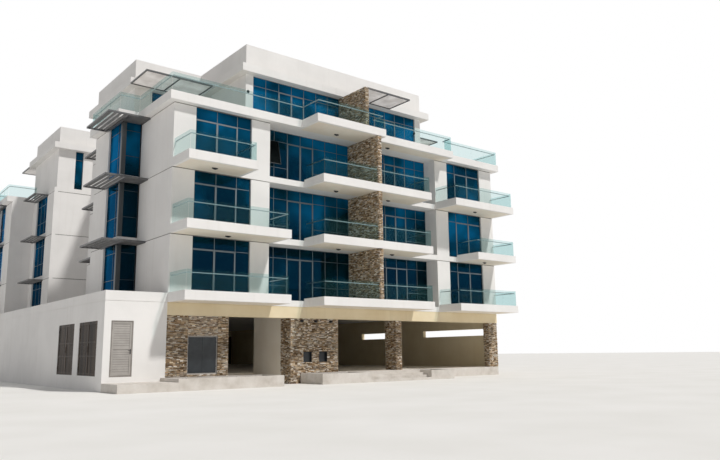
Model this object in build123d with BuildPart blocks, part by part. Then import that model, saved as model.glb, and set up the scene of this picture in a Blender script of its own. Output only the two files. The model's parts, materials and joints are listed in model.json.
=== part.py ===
# Apartment block: an open ground storey with a podium along its left side, three storeys of flats
# with balconies, and a set-back top storey with terraces. The plan is symmetrical about the centre
# line of the front and about the cross line half way back, apart from the ground storey and balconies.
# The origin is where those two lines cross, at pavement level. +X runs right along the front, +Y runs
# back into the building and +Z is up. All sizes are in millimetres.
import os

from build123d import *

# Driving dimensions: overall plan and storeys
half_width = 11000            # centre line to the face of the main side wall
half_depth = 17550            # cross line to the face of the main front wall
storey = 3100                 # floor to floor
ground_soffit = 3770          # pavement to the underside of the first floor
floor_thickness = 300
wall = 250                    # outer walls
roof_thickness = 420
parapet_height = 1260         # top of the roof slab to the top of the parapet
upper_storeys = 3             # storeys with balconies, below the set-back top storey

# Front of the wings and the recessed centre
wing_width = 5150
wing_pier = 1100              # wall between the corner and the wing's window
wing_window = 3000
centre_setback = 950          # the centre's window wall behind the wings' front
glass_thickness = 30
glass_inset = 100             # a window's glass behind the face of its wall

# Sides: a bay, then a recessed strip, then a light well
bay_start = 3950              # front wall face to the bay
bay_length = 3950
bay_projection = 980
bay_post = 210                # post at the bay's glazed corner
bay_side_window = 1720        # glass along the bay's side, behind the post
strip_recess = 560            # the strip's wall behind the main side wall
strip_window_start = 1000     # bay's end to the strip's window
strip_window = 2800
strip_length = 5500           # bay's end to the light well
well_width = 4650             # main side wall to the core's wall, across a light well

# Grooves in the render under each floor
groove_height = 40
groove_depth = 20

# Stone-clad fin between the two middle flats
fin_thickness = 240
fin_projection = 1700
fin_clearance = 60            # fin's side to the glass of a balustrade, with the stones between
top_fin_projection = 680

# Balconies, levels 1 to 3: lengths of the left ones, then the right ones, and the centre ones' ends
balcony_projection = 1750
left_balcony_lengths = (5350, 5350, 3500)
right_balcony_lengths = (5100, 3450, 5200)
centre_balcony_left = 3750    # left end to the centre line
centre_balcony_right = 3800   # centre line to the right end
balcony_slab = 250
fascia_height = 420
fascia_thickness = 150

# Terrace of the top storey: edge of its slab in four stretches, from left to right
terrace_overhang_left = 330
terrace_overhang_right = 420
terrace_side_overhang = 330
left_step = 4110              # centre line to the step between the first and second stretch
centre_step = 460             # centre line to the step between the second and third
right_step = 6500             # centre line to the step between the third and fourth
left_terrace_projection = 1750
right_terrace_projection = 990
bay_roof_overhang = 370

# Top storey
top_core_setback = 1700       # its centre part behind the front wall face
top_core_pier = 450
top_side_recess = 700         # its side part behind the main side wall
top_side_start = 7140         # front wall face to its side part
top_side_pier = 1000
top_side_end_pier = 250       # wall between the side part's window and the core
eave_overhang = 410
slim_window_start = 1880      # main side wall to the slim window over the light well
slim_window = 560

# Balustrades
balustrade_height = 900
balustrade_glass = 20
glass_gap = 20                # between two runs of glass at a corner
rail_size = 35
rail_drop = 120               # top of the glass to the top of the handrail
rail_standoff = 35            # glass to handrail

# Canopies: arms that stand out from the wall, and louvre blades between them
canopy_thickness = 90
canopy_arm = 60
canopy_projection = 1100      # in front of the bay
canopy_blades = 4
canopy_front_bar = 50
blade_length = 110            # across the blade
blade_thickness = 12
blade_tilt = 35               # degrees from level
sheet_thickness = 16          # sheets between the bars of the terrace canopies
strip_canopy_projection = 960
strip_canopy_margin = 150
terrace_canopy_length = 3800
terrace_canopy_depth = 2300
fin_canopy_length = 3300
fin_canopy_depth = 1850

# Ground storey
ground_floor = 500            # pavement to the ground floor's surface
beam_drop = 570
beam_depth = 450
side_beam_drop = 900
podium_projection = 2720
podium_kerb = 410             # first floor's underside to the top of the podium wall
stone_inset = 50              # face of the stone walls behind the front wall face
stone_wall_width = 3050
recess_width = 3430
recess_depth = 3650
sign_wall_width = 2920
sign_wall_return = 940
lobby_width = 4030
pier_width = 420
pier_depth = 940
corner_pier_width = 800
low_wall_height = 2450
side_pier_start = 6500        # front wall face to the full-height part of the undercroft's wall
side_pier_end = 9500
sign_box = 500                # two square boxes let into the sign wall
sign_box_depth = 120
sign_box_bottom = 1030
sign_box_start = 760          # wall's left end to the first box
sign_box_pitch = 950

# Doors of the ground storey
service_door_start = 300      # podium corner to the doorway
service_door_width = 950
service_door_sill = 590
service_door_head = 2920
first_side_door_start = 820
second_side_door_start = 4000
side_door_width = 2450
side_door_sill = 620
side_door_head = 2940
utility_start = 1020
utility_width = 1480
utility_sill = 600
utility_head = 2300
leaf_thickness = 45
leaf_gap = 8                  # round a leaf, and between the two leaves of a pair
frame_inset = 20              # face of a frame and its leaf behind the face of their wall
frame_width = 50
frame_depth = 110

# Lift-off hinges: a knuckle and its flap on the frame, with the leaf's own on top
knuckle_radius = 9
knuckle_sides = 12            # flats round a knuckle
knuckle_length = 60
knuckle_gap = 0.3             # between the two knuckles
flap_width = 34               # hinge's axis to the flap's edge
flap_thickness = 3
hinge_margin = 250            # leaf's lower edge to a hinge, and the same at the top

# Louvre blades and slats in the leaves
stile_width = 70
panel_depth = 12              # blades and slats are this far inside both faces of a leaf
louvre_count = 10             # in each half of the service door
louvre_overlap = 10
louvre_thickness = 3
louvre_lean = 7               # degrees from upright, lower edge outward
slat_count = 8
slat_gap = 22

# Lever handle of the service door
handle_height = 1030          # over the leaf's lower edge
handle_plate = (40, 210, 6)
handle_bar = 16
handle_reach = 55             # leaf's face to the lever's middle
lever_length = 120

# Outside works
platform_depth = 1880
platform_height = 350
platform_gap = 200            # platform's end to the main side wall
planter_height = 500
planter_wall = 150
planter_soil_drop = 60
first_planter_length = 5100
second_planter_start = 7050   # from the main side wall's face
second_planter_length = 3000
third_planter_length = 1750
steps_width = 4200            # between the second planter and the third
riser_count = 4
tread = 300

# Lines worked out from the driving dimensions
core_half_width = half_width - well_width
top_side_window = well_width - top_side_recess - top_side_pier - top_side_end_pier
side_door_starts = (first_side_door_start, second_side_door_start)
left_face = -half_width
front_face = -half_depth
bay_end = bay_start + bay_length
well_start = bay_end + strip_length
levels = range(1, upper_storeys + 1)
top_level = upper_storeys + 1
os.makedirs("parts", exist_ok=True)


def soffit(level):
    """Height of the underside of a floor above the pavement."""
    return ground_soffit + (level - 1) * storey


def floor_top(level):
    """Height of a floor's surface above the pavement."""
    return soffit(level) + floor_thickness


def across(distance):
    """Place along X at a distance from the main left wall's face."""
    return left_face + distance


def back(distance):
    """Place along Y at a distance behind the main front wall's face."""
    return front_face + distance


def block(x, y, z):
    """Add a rectangular solid between two values on each axis."""
    with Locations((x[0], y[0], z[0])):
        Box(x[1] - x[0], y[1] - y[0], z[1] - z[0], align=(Align.MIN, Align.MIN, Align.MIN))


def storey_wall(x, y, level):
    """Add a wall from a floor's surface to the underside of the next floor."""
    block(x, y, (floor_top(level), soffit(level + 1)))


def cut(x, y, z):
    """Cut a rectangular space between two values on each axis."""
    with Locations((x[0], y[0], z[0])):
        Box(
            x[1] - x[0],
            y[1] - y[0],
            z[1] - z[0],
            align=(Align.MIN, Align.MIN, Align.MIN),
            mode=Mode.SUBTRACT,
        )


def groove_along_x(x, face, inward, level):
    """Cut the groove under a floor in walls that run along X; inward is 1 or -1 along Y."""
    y = sorted((face, face + inward * groove_depth))
    cut(x, y, (soffit(level) - groove_height, soffit(level)))


def groove_along_y(y, face, level):
    """Cut the groove under a floor in walls on the left that run along Y."""
    cut((face, face + groove_depth), y, (soffit(level) - groove_height, soffit(level)))


def both_ways():
    """Repeat what was made for the front left quarter in the other three."""
    mirror(about=Plane.YZ)
    mirror(about=Plane.XZ)


def save(piece, name):
    """Name a finished piece and write it."""
    piece.part.label = name
    export_step(piece.part, f"parts/{name}.step")


# Floors of the core, which runs from the front to the rear
with BuildPart() as core_floors:
    for level in range(1, top_level + 1):
        block(
            (-core_half_width, core_half_width),
            (front_face, half_depth),
            (soffit(level), floor_top(level)),
        )
save(core_floors, "core_floors")

# Floors of the four corner wings, and of the recessed strips behind them
with BuildPart() as wing_floors:
    for level in range(1, top_level + 1):
        block(
            (left_face, -core_half_width),
            (front_face, back(bay_end)),
            (soffit(level), floor_top(level)),
        )
    both_ways()
save(wing_floors, "wing_floors")

with BuildPart() as strip_floors:
    for level in range(1, top_level + 1):
        outer = left_face if level == 1 else across(strip_recess)
        block(
            (outer, -core_half_width),
            (back(bay_end), back(well_start)),
            (soffit(level), floor_top(level)),
        )
    both_ways()
save(strip_floors, "strip_floors")

# Bottoms of the light wells, which roof the ground storey
with BuildPart() as well_floors:
    block(
        (left_face, -core_half_width),
        (back(well_start), -back(well_start)),
        (soffit(1), floor_top(1)),
    )
    mirror(about=Plane.YZ)
save(well_floors, "well_floors")

# Floors of the bays; the top one carries the terrace round the bay and stands out further.
# The left bays stand on the podium's roof.
with BuildPart() as bay_floors:
    for level in range(2, top_level):
        block(
            (across(-bay_projection), left_face),
            (back(bay_start), back(bay_end)),
            (soffit(level), floor_top(level)),
        )
    both_ways()
    for front in (back(bay_start), -back(bay_end)):
        block(
            (half_width, half_width + bay_projection),
            (front, front + bay_length),
            (soffit(1), floor_top(1)),
        )
save(bay_floors, "bay_floors")

# Walls that run along the front: piers beside the wings' windows, bay posts, backs of the bays and
# the walls of the light wells
with BuildPart() as front_walls:
    for level in levels:
        storey_wall((left_face, across(wing_pier)), (front_face, back(wall)), level)
        storey_wall((across(wing_pier + wing_window), across(wing_width)), (front_face, back(wall)), level)
        storey_wall(
            (across(-bay_projection), across(bay_post - bay_projection)),
            (back(bay_start), back(bay_start + bay_post)),
            level,
        )
        storey_wall(
            (across(-bay_projection + wall), across(strip_recess)),
            (back(bay_end - wall), back(bay_end)),
            level,
        )
        storey_wall(
            (across(strip_recess + wall), -core_half_width),
            (back(well_start - wall), back(well_start)),
            level,
        )
        groove_along_x((left_face, across(wing_width)), front_face, 1, level + 1)
        groove_along_y((front_face, back(wall)), left_face, level + 1)
        groove_along_x((across(strip_recess + wall), -core_half_width), back(well_start), -1, level + 1)
    both_ways()
save(front_walls, "front_walls")

# Walls that run back from the front: the main side walls, the sides of the bays and strips, the
# returns to the recessed centre and the core's walls in the light wells
with BuildPart() as side_walls:
    for level in levels:
        storey_wall((left_face, across(wall)), (back(wall), back(bay_start)), level)
        storey_wall(
            (across(-bay_projection), across(-bay_projection + wall)),
            (back(bay_start + bay_post + bay_side_window), back(bay_end)),
            level,
        )
        storey_wall(
            (across(strip_recess), across(strip_recess + wall)),
            (back(bay_end), back(bay_end + strip_window_start)),
            level,
        )
        storey_wall(
            (across(strip_recess), across(strip_recess + wall)),
            (back(bay_end + strip_window_start + strip_window), back(well_start)),
            level,
        )
        storey_wall(
            (across(wing_width - wall), across(wing_width)),
            (back(wall), back(centre_setback)),
            level,
        )
        storey_wall((-core_half_width, -core_half_width + wall), (back(well_start), 0), level)
        groove_along_y((back(wall), back(bay_start)), left_face, level + 1)
        bay_wall_start = bay_start + bay_post + bay_side_window
        groove_along_y((back(bay_wall_start), back(bay_end)), across(-bay_projection), level + 1)
        groove_along_y((back(bay_end), back(well_start)), across(strip_recess), level + 1)
    both_ways()
save(side_walls, "side_walls")

# Stone-clad fins on the centre line, between the two middle flats. Each is one profile, notched
# round the kerb on which its outer edge stands.
kerb_inside = back(-balcony_projection + fascia_thickness)
with BuildPart() as party_fins:
    for level in levels:
        kerb_top = soffit(level) + fascia_height
        with BuildSketch(Plane.YZ):
            with BuildLine():
                Polyline(
                    (kerb_inside, floor_top(level)),
                    (back(centre_setback), floor_top(level)),
                    (back(centre_setback), soffit(level + 1)),
                    (back(-fin_projection), soffit(level + 1)),
                    (back(-fin_projection), kerb_top),
                    (kerb_inside, kerb_top),
                    close=True,
                )
            make_face()
        extrude(amount=fin_thickness / 2, both=True)
    storey_wall(
        (-fin_thickness / 2, fin_thickness / 2),
        (back(-top_fin_projection), back(top_core_setback)),
        top_level,
    )
    mirror(about=Plane.XZ)
save(party_fins, "party_fins")

# Walls of the set-back top storey
with BuildPart() as top_front_walls:
    storey_wall(
        (-core_half_width, -core_half_width + top_core_pier),
        (back(top_core_setback), back(top_core_setback + wall)),
        top_level,
    )
    storey_wall(
        (across(top_side_recess), across(top_side_recess + top_side_pier)),
        (back(top_side_start), back(top_side_start + wall)),
        top_level,
    )
    storey_wall(
        (across(top_side_recess + top_side_pier + top_side_window), -core_half_width),
        (back(top_side_start), back(top_side_start + wall)),
        top_level,
    )
    storey_wall(
        (across(top_side_recess + wall), across(slim_window_start)),
        (back(well_start - wall), back(well_start)),
        top_level,
    )
    storey_wall(
        (across(slim_window_start + slim_window), -core_half_width),
        (back(well_start - wall), back(well_start)),
        top_level,
    )
    both_ways()
save(top_front_walls, "top_front_walls")

with BuildPart() as top_side_walls:
    storey_wall(
        (-core_half_width, -core_half_width + wall),
        (back(top_core_setback + wall), back(top_side_start)),
        top_level,
    )
    storey_wall(
        (across(top_side_recess), across(top_side_recess + wall)),
        (back(top_side_start + wall), back(well_start)),
        top_level,
    )
    storey_wall((-core_half_width, -core_half_width + wall), (back(well_start), 0), top_level)
    both_ways()
save(top_side_walls, "top_side_walls")

# Roof slabs with their eaves: one over the core, four over the side parts
roof_base = soffit(top_level + 1)
roof_top = roof_base + roof_thickness
with BuildPart() as core_roof:
    block(
        (-core_half_width - eave_overhang, core_half_width + eave_overhang),
        (back(top_core_setback - eave_overhang), -back(top_core_setback - eave_overhang)),
        (roof_base, roof_top),
    )
save(core_roof, "core_roof")

with BuildPart() as side_roofs:
    block(
        (across(top_side_recess - eave_overhang), -core_half_width - eave_overhang),
        (back(top_side_start - eave_overhang), back(well_start + eave_overhang)),
        (roof_base, roof_top),
    )
    both_ways()
save(side_roofs, "side_roofs")

# Parapets in line with the walls below: those along the front, then those that run back
parapet_top = roof_top + parapet_height
with BuildPart() as front_parapets:
    block(
        (-core_half_width, core_half_width),
        (back(top_core_setback), back(top_core_setback + wall)),
        (roof_top, parapet_top),
    )
    mirror(about=Plane.XZ)
    for y_start in (top_side_start, well_start - wall):
        block(
            (across(top_side_recess), -core_half_width),
            (back(y_start), back(y_start + wall)),
            (roof_top, parapet_top),
        )
    both_ways()
save(front_parapets, "front_parapets")

with BuildPart() as side_parapets:
    block(
        (-core_half_width, -core_half_width + wall),
        (back(top_core_setback + wall), 0),
        (roof_top, parapet_top),
    )
    block(
        (across(top_side_recess), across(top_side_recess + wall)),
        (back(top_side_start + wall), back(well_start - wall)),
        (roof_top, parapet_top),
    )
    both_ways()
save(side_parapets, "side_parapets")

# Balconies and terrace stretches: level, left end, right end, projection in front of the wall face
balconies = []
for level in levels:
    balconies.append((level, left_face, across(left_balcony_lengths[level - 1]), balcony_projection))
    balconies.append((level, -centre_balcony_left, centre_balcony_right, balcony_projection))
    balconies.append((level, half_width - right_balcony_lengths[level - 1], half_width, balcony_projection))
terrace_left = (top_level, -left_step, centre_step, left_terrace_projection)
terrace_right = (top_level, centre_step, right_step, right_terrace_projection)
terraces = [terrace_left, terrace_right]

with BuildPart() as balcony_slabs:
    for level, start, end, projection in balconies + terraces:
        block(
            (start + fascia_thickness, end - fascia_thickness),
            (back(-projection + fascia_thickness), front_face),
            (soffit(level), soffit(level) + balcony_slab),
        )
    mirror(about=Plane.XZ)
save(balcony_slabs, "balcony_slabs")

# Fascias along the front edges, standing above the slabs as kerbs
with BuildPart() as balcony_fascias:
    for level, start, end, projection in balconies + terraces:
        block(
            (start, end),
            (back(-projection), back(-projection + fascia_thickness)),
            (soffit(level), soffit(level) + fascia_height),
        )
    for start, end, projection in (
        (across(-terrace_side_overhang), -left_step, terrace_overhang_left),
        (right_step, half_width + terrace_side_overhang, terrace_overhang_right),
    ):
        block(
            (start, end),
            (back(-projection), front_face),
            (soffit(top_level), soffit(top_level) + fascia_height),
        )
    mirror(about=Plane.XZ)
save(balcony_fascias, "balcony_fascias")

# Kerbs at the balconies' ends and along the sides of the terrace
with BuildPart() as balcony_ends:
    for level, start, end, projection in balconies + [terrace_left]:
        for x_start in (start, end - fascia_thickness):
            block(
                (x_start, x_start + fascia_thickness),
                (back(-projection + fascia_thickness), front_face),
                (soffit(level), soffit(level) + fascia_height),
            )
    block(
        (right_step - fascia_thickness, right_step),
        (back(-right_terrace_projection + fascia_thickness), front_face),
        (soffit(top_level), soffit(top_level) + fascia_height),
    )
    mirror(about=Plane.XZ)
save(balcony_ends, "balcony_ends")

# Edge of the terrace round the sides and over the bays
bay_roof_x = -bay_projection - bay_roof_overhang
bay_roof_start = bay_start - bay_roof_overhang
with BuildPart() as terrace_sides:
    block(
        (across(-terrace_side_overhang), left_face),
        (front_face, back(bay_roof_start)),
        (soffit(top_level), soffit(top_level) + fascia_height),
    )
    both_ways()
save(terrace_sides, "terrace_sides")

with BuildPart() as bay_roofs:
    block(
        (across(bay_roof_x), left_face),
        (back(bay_roof_start), back(bay_end)),
        (soffit(top_level), soffit(top_level) + fascia_height),
    )
    both_ways()
save(bay_roofs, "bay_roofs")

# Glass of the windows: wings, bays and strips of the storeys with balconies
with BuildPart() as window_glass:
    for level in levels:
        storey_wall(
            (across(wing_pier), across(wing_pier + wing_window)),
            (back(glass_inset), back(glass_inset + glass_thickness)),
            level,
        )
        storey_wall(
            (across(bay_post - bay_projection), left_face),
            (back(bay_start + glass_inset), back(bay_start + glass_inset + glass_thickness)),
            level,
        )
        storey_wall(
            (across(glass_inset - bay_projection), across(glass_inset + glass_thickness - bay_projection)),
            (back(bay_start + bay_post), back(bay_start + bay_post + bay_side_window)),
            level,
        )
        storey_wall(
            (across(strip_recess + glass_inset), across(strip_recess + glass_inset + glass_thickness)),
            (back(bay_end + strip_window_start), back(bay_end + strip_window_start + strip_window)),
            level,
        )
    both_ways()
save(window_glass, "window_glass")

# Window walls of the recessed centre, on both sides of the fin
with BuildPart() as centre_glass:
    for level in levels:
        storey_wall(
            (across(wing_width - wall), -fin_thickness / 2),
            (back(centre_setback), back(centre_setback + glass_thickness)),
            level,
        )
    both_ways()
save(centre_glass, "centre_glass")

# Windows of the top storey
with BuildPart() as top_glass:
    storey_wall(
        (-core_half_width + top_core_pier, -fin_thickness / 2),
        (back(top_core_setback + glass_inset), back(top_core_setback + glass_inset + glass_thickness)),
        top_level,
    )
    storey_wall(
        (across(top_side_recess + top_side_pier), across(top_side_recess + top_side_pier + top_side_window)),
        (back(top_side_start + glass_inset), back(top_side_start + glass_inset + glass_thickness)),
        top_level,
    )
    storey_wall(
        (across(slim_window_start), across(slim_window_start + slim_window)),
        (back(well_start - glass_inset - glass_thickness), back(well_start - glass_inset)),
        top_level,
    )
    both_ways()
save(top_glass, "top_glass")

# Glass balustrades on the kerbs. A run along X has its two ends, its line across and its foot, and
# so has a run along Y.
kerb_middle = fascia_thickness / 2
x_runs = []
y_runs = []
for level, start, end, projection in balconies:
    foot = soffit(level) + fascia_height
    line = back(-projection) + kerb_middle
    if start < 0 < end:
        fin_stop = fin_thickness / 2 + fin_clearance - glass_gap
        x_runs.append((start + kerb_middle, -fin_stop, line, foot))
        x_runs.append((fin_stop, end - kerb_middle, line, foot))
    else:
        x_runs.append((start + kerb_middle, end - kerb_middle, line, foot))
    y_runs.append((line, front_face, start + kerb_middle, foot))
    y_runs.append((line, front_face, end - kerb_middle, foot))

# The terrace's runs step in and out with its kerb and go round the roofs of the bays
terrace_foot = soffit(top_level) + fascia_height
far_left = across(-terrace_side_overhang) + kerb_middle
far_right = half_width + terrace_side_overhang - kerb_middle
terrace_stops = (
    far_left,
    -left_step + kerb_middle,
    centre_step - kerb_middle,
    right_step - kerb_middle,
    far_right,
)
terrace_lines = []
for overhang in (
    terrace_overhang_left,
    left_terrace_projection,
    right_terrace_projection,
    terrace_overhang_right,
):
    terrace_lines.append(back(-overhang) + kerb_middle)
for index, line in enumerate(terrace_lines):
    x_runs.append((terrace_stops[index], terrace_stops[index + 1], line, terrace_foot))
for index in range(1, len(terrace_lines)):
    nearer = min(terrace_lines[index - 1], terrace_lines[index])
    farther = max(terrace_lines[index - 1], terrace_lines[index])
    y_runs.append((nearer, farther, terrace_stops[index], terrace_foot))
bay_line = bay_projection + bay_roof_overhang - kerb_middle
bay_front_line = back(bay_roof_start) + kerb_middle
bay_back_line = back(bay_end) - kerb_middle
for side, corner_line in ((-1, terrace_lines[0]), (1, terrace_lines[-1])):
    outer = side * (half_width + bay_line)
    inner = side * (half_width + terrace_side_overhang - kerb_middle)
    y_runs.append((corner_line, bay_front_line, inner, terrace_foot))
    y_runs.append((bay_front_line, bay_back_line, outer, terrace_foot))
    x_runs.append((min(outer, inner), max(outer, inner), bay_front_line, terrace_foot))
    wall_line = side * (half_width - top_side_recess)
    x_runs.append((min(outer, wall_line), max(outer, wall_line), bay_back_line, terrace_foot))

with BuildPart() as glass_balustrades:
    half_glass = balustrade_glass / 2
    for start, end, line, foot in x_runs:
        block(
            (start + glass_gap, end - glass_gap),
            (line - half_glass, line + half_glass),
            (foot, foot + balustrade_height),
        )
    for start, end, line, foot in y_runs:
        block(
            (line - half_glass, line + half_glass),
            (start + glass_gap, end - glass_gap),
            (foot, foot + balustrade_height),
        )
    mirror(about=Plane.XZ)
save(glass_balustrades, "balustrade_glass")

# Handrails: square tubes inside the glass, each traced along one line with mitred corners. A
# balcony's rail ends at the wall face, and beside the fin where one stands in its way.
rail_inside = kerb_middle + balustrade_glass / 2 + rail_standoff + rail_size / 2
rail_base = fascia_height + balustrade_height - rail_drop - rail_size
rail_lines = []
for level, start, end, projection in balconies:
    line = back(-projection) + rail_inside
    left_part = [(start + rail_inside, front_face), (start + rail_inside, line)]
    right_part = [(end - rail_inside, line), (end - rail_inside, front_face)]
    if start < 0 < end:
        rail_lines.append((level, left_part + [(-fin_thickness / 2, line)]))
        rail_lines.append((level, [(fin_thickness / 2, line)] + right_part))
    else:
        rail_lines.append((level, left_part + right_part))

# The terrace's rail goes from one light well round the front to the other
bay_rail_x = half_width + bay_projection + bay_roof_overhang - rail_inside
side_rail_x = half_width + terrace_side_overhang - rail_inside
bay_rail_front = back(bay_roof_start) + rail_inside
bay_rail_back = back(bay_end) - rail_inside
terrace_rail = [
    (top_side_recess - half_width, bay_rail_back),
    (-bay_rail_x, bay_rail_back),
    (-bay_rail_x, bay_rail_front),
    (-side_rail_x, bay_rail_front),
]
terrace_rail_lines = [line - kerb_middle + rail_inside for line in terrace_lines]
terrace_rail_stops = (
    -side_rail_x,
    rail_inside - left_step,
    centre_step - rail_inside,
    right_step - rail_inside,
    side_rail_x,
)
for index, line in enumerate(terrace_rail_lines):
    terrace_rail.append((terrace_rail_stops[index], line))
    terrace_rail.append((terrace_rail_stops[index + 1], line))
terrace_rail += [
    (side_rail_x, bay_rail_front),
    (bay_rail_x, bay_rail_front),
    (bay_rail_x, bay_rail_back),
    (half_width - top_side_recess, bay_rail_back),
]
rail_lines.append((top_level, terrace_rail))

with BuildPart() as handrails:
    for level, points in rail_lines:
        with BuildSketch(Plane.XY.offset(soffit(level) + rail_base)):
            with BuildLine():
                Polyline(*points)
            trace(line_width=rail_size)
        extrude(amount=rail_size)
    mirror(about=Plane.XZ)
save(handrails, "handrails")


# Canopies of steel round the glazed corners of the bays, over the strips' windows and over the
# terraces. Their louvre blades are one tilted profile repeated between the wall and the front bar.
def louvres(plane, length, depth):
    """Add the ledger, tilted blades and front bar of a canopy; local X runs outward."""
    pitch = (depth - 2 * canopy_front_bar) / canopy_blades
    with BuildSketch(plane) as profile:
        for place in (canopy_front_bar / 2, depth - canopy_front_bar / 2):
            with Locations((place, -canopy_thickness / 2)):
                Rectangle(canopy_front_bar, canopy_thickness)
        for index in range(canopy_blades):
            with Locations((canopy_front_bar + pitch * (index + 0.5), -canopy_thickness / 2)):
                Rectangle(blade_length, blade_thickness, rotation=blade_tilt)
    extrude(profile.sketch, amount=length)


def arm(x, y, level):
    """Add one arm of a canopy over the windows of a level."""
    block(x, y, (soffit(level + 1) - canopy_thickness, soffit(level + 1)))


side_canopy_front = back(bay_start - canopy_projection)
side_canopy_back = back(bay_start + bay_post + bay_side_window + wall)
bay_face = across(-bay_projection)
strip_face = across(strip_recess)
window_start = bay_end + strip_window_start
strip_canopy_front = back(window_start - strip_canopy_margin)
strip_canopy_back = back(window_start + strip_window + strip_canopy_margin)

with BuildPart() as bay_front_canopies:
    for level in levels:
        inner_end = (left_face - canopy_arm, back(bay_start), soffit(level + 1))
        start = Plane(inner_end, x_dir=(0, -1, 0), z_dir=(-1, 0, 0))
        louvres(start, bay_projection - canopy_arm, canopy_projection)
    both_ways()
save(bay_front_canopies, "bay_front_canopies")

with BuildPart() as bay_side_canopies:
    for level in levels:
        front_end = (bay_face - canopy_arm, side_canopy_front + canopy_arm, soffit(level + 1))
        start = Plane(front_end, x_dir=(-1, 0, 0), z_dir=(0, 1, 0))
        length = side_canopy_back - side_canopy_front - 2 * canopy_arm
        louvres(start, length, canopy_projection - canopy_arm)
    both_ways()
save(bay_side_canopies, "bay_side_canopies")

with BuildPart() as strip_canopies:
    for level in levels:
        front_end = (strip_face, strip_canopy_front + canopy_arm, soffit(level + 1))
        start = Plane(front_end, x_dir=(-1, 0, 0), z_dir=(0, 1, 0))
        length = strip_canopy_back - strip_canopy_front - 2 * canopy_arm
        louvres(start, length, strip_canopy_projection)
    both_ways()
save(strip_canopies, "strip_canopies")

# Arms at the ends of the louvres: those that run along the front, then those that run back. The one
# between a bay's two canopies goes on along the bay's face.
outer = bay_face - canopy_projection
strip_outer = strip_face - strip_canopy_projection
with BuildPart() as canopy_arms:
    for level in levels:
        arm((outer, bay_face), (side_canopy_front, side_canopy_front + canopy_arm), level)
        arm((outer, bay_face), (side_canopy_back - canopy_arm, side_canopy_back), level)
        arm((strip_outer, strip_face), (strip_canopy_front, strip_canopy_front + canopy_arm), level)
        arm((strip_outer, strip_face), (strip_canopy_back - canopy_arm, strip_canopy_back), level)
    both_ways()
save(canopy_arms, "canopy_arms")

with BuildPart() as canopy_side_arms:
    for level in levels:
        arm(
            (bay_face - canopy_arm, bay_face),
            (side_canopy_front + canopy_arm, side_canopy_back - canopy_arm),
            level,
        )
        arm((left_face - canopy_arm, left_face), (side_canopy_front, back(bay_start)), level)
    both_ways()
save(canopy_side_arms, "canopy_side_arms")


# Canopies of the terraces: a frame with one cross bar, and opal sheets between the bars
def terrace_canopy(x, y):
    """Add the frame of a terrace canopy, with sheets half way up its bars."""
    block(x, y, (roof_base, roof_base + canopy_thickness))
    middle = (x[0] + x[1]) / 2
    sheet_base = roof_base + (canopy_thickness - sheet_thickness) / 2
    spans = ((x[0] + canopy_arm, middle - canopy_arm / 2), (middle + canopy_arm / 2, x[1] - canopy_arm))
    for span in spans:
        inside = (y[0] + canopy_arm, y[1] - canopy_arm)
        cut(span, inside, (roof_base, sheet_base))
        cut(span, inside, (sheet_base + sheet_thickness, roof_base + canopy_thickness))


with BuildPart() as terrace_canopies:
    side_eave = top_side_start - eave_overhang
    canopy_left = across(top_side_recess - eave_overhang)
    terrace_canopy(
        (canopy_left, canopy_left + terrace_canopy_length),
        (back(side_eave - terrace_canopy_depth), back(side_eave)),
    )
    both_ways()
    core_eave = top_core_setback - eave_overhang
    for front in (back(core_eave - fin_canopy_depth), -back(core_eave)):
        terrace_canopy(
            (fin_thickness / 2, fin_thickness / 2 + fin_canopy_length),
            (front, front + fin_canopy_depth),
        )
save(terrace_canopies, "terrace_canopies")

# Ground storey. Places along the front, from left to right
podium_face = across(-podium_projection)
stone_end = across(stone_wall_width)
sign_start = stone_end + recess_width
sign_end = sign_start + sign_wall_width
pier_start = sign_end + lobby_width
pier_end = pier_start + pier_width
corner_pier_start = half_width - corner_pier_width
steps_start = across(second_planter_start + second_planter_length)
steps_end = steps_start + steps_width
beam_base = ground_soffit - beam_drop
podium_top = ground_soffit + podium_kerb
stone_front = back(stone_inset)
beam_back = back(beam_depth)

# Ground floor: the main slab, and two strips on both sides of the recess beside the stone wall
with BuildPart() as ground_slab:
    block(
        (podium_face + wall, half_width - wall),
        (back(recess_depth), half_depth - beam_depth),
        (0, ground_floor),
    )
save(ground_slab, "ground_slab")

with BuildPart() as front_ground_slabs:
    block((podium_face + wall, stone_end - wall), (beam_back, back(recess_depth)), (0, ground_floor))
    block((sign_start + wall, half_width - wall), (beam_back, back(recess_depth)), (0, ground_floor))
save(front_ground_slabs, "front_ground_slabs")

# Beams under the edge of the first floor, and the beam along the right side
with BuildPart() as ground_beams:
    block((left_face, half_width), (front_face, beam_back), (beam_base, ground_soffit))
    groove_along_x((left_face, half_width), front_face, 1, 1)
    mirror(about=Plane.XZ)
save(ground_beams, "ground_beams")

side_beam_base = ground_soffit - side_beam_drop
with BuildPart() as side_beam:
    block((half_width - wall, half_width), (beam_back, -beam_back), (side_beam_base, ground_soffit))
save(side_beam, "side_beam")

# Rendered walls of the podium that run along the front, beside the service doorway and at the rear
service_start = podium_face + service_door_start
service_end = service_start + service_door_width
with BuildPart() as podium_front_walls:
    block((podium_face, service_start), (front_face, beam_back), (0, podium_top))
    block((service_end, left_face), (front_face, beam_back), (0, podium_top))
    block((podium_face, left_face), (-beam_back, half_depth), (0, podium_top))
    groove_along_x((podium_face, left_face), front_face, 1, 1)
    groove_along_x((podium_face, left_face), half_depth, -1, 1)
    groove_along_y((front_face, half_depth), podium_face, 1)
save(podium_front_walls, "podium_front_walls")

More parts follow.
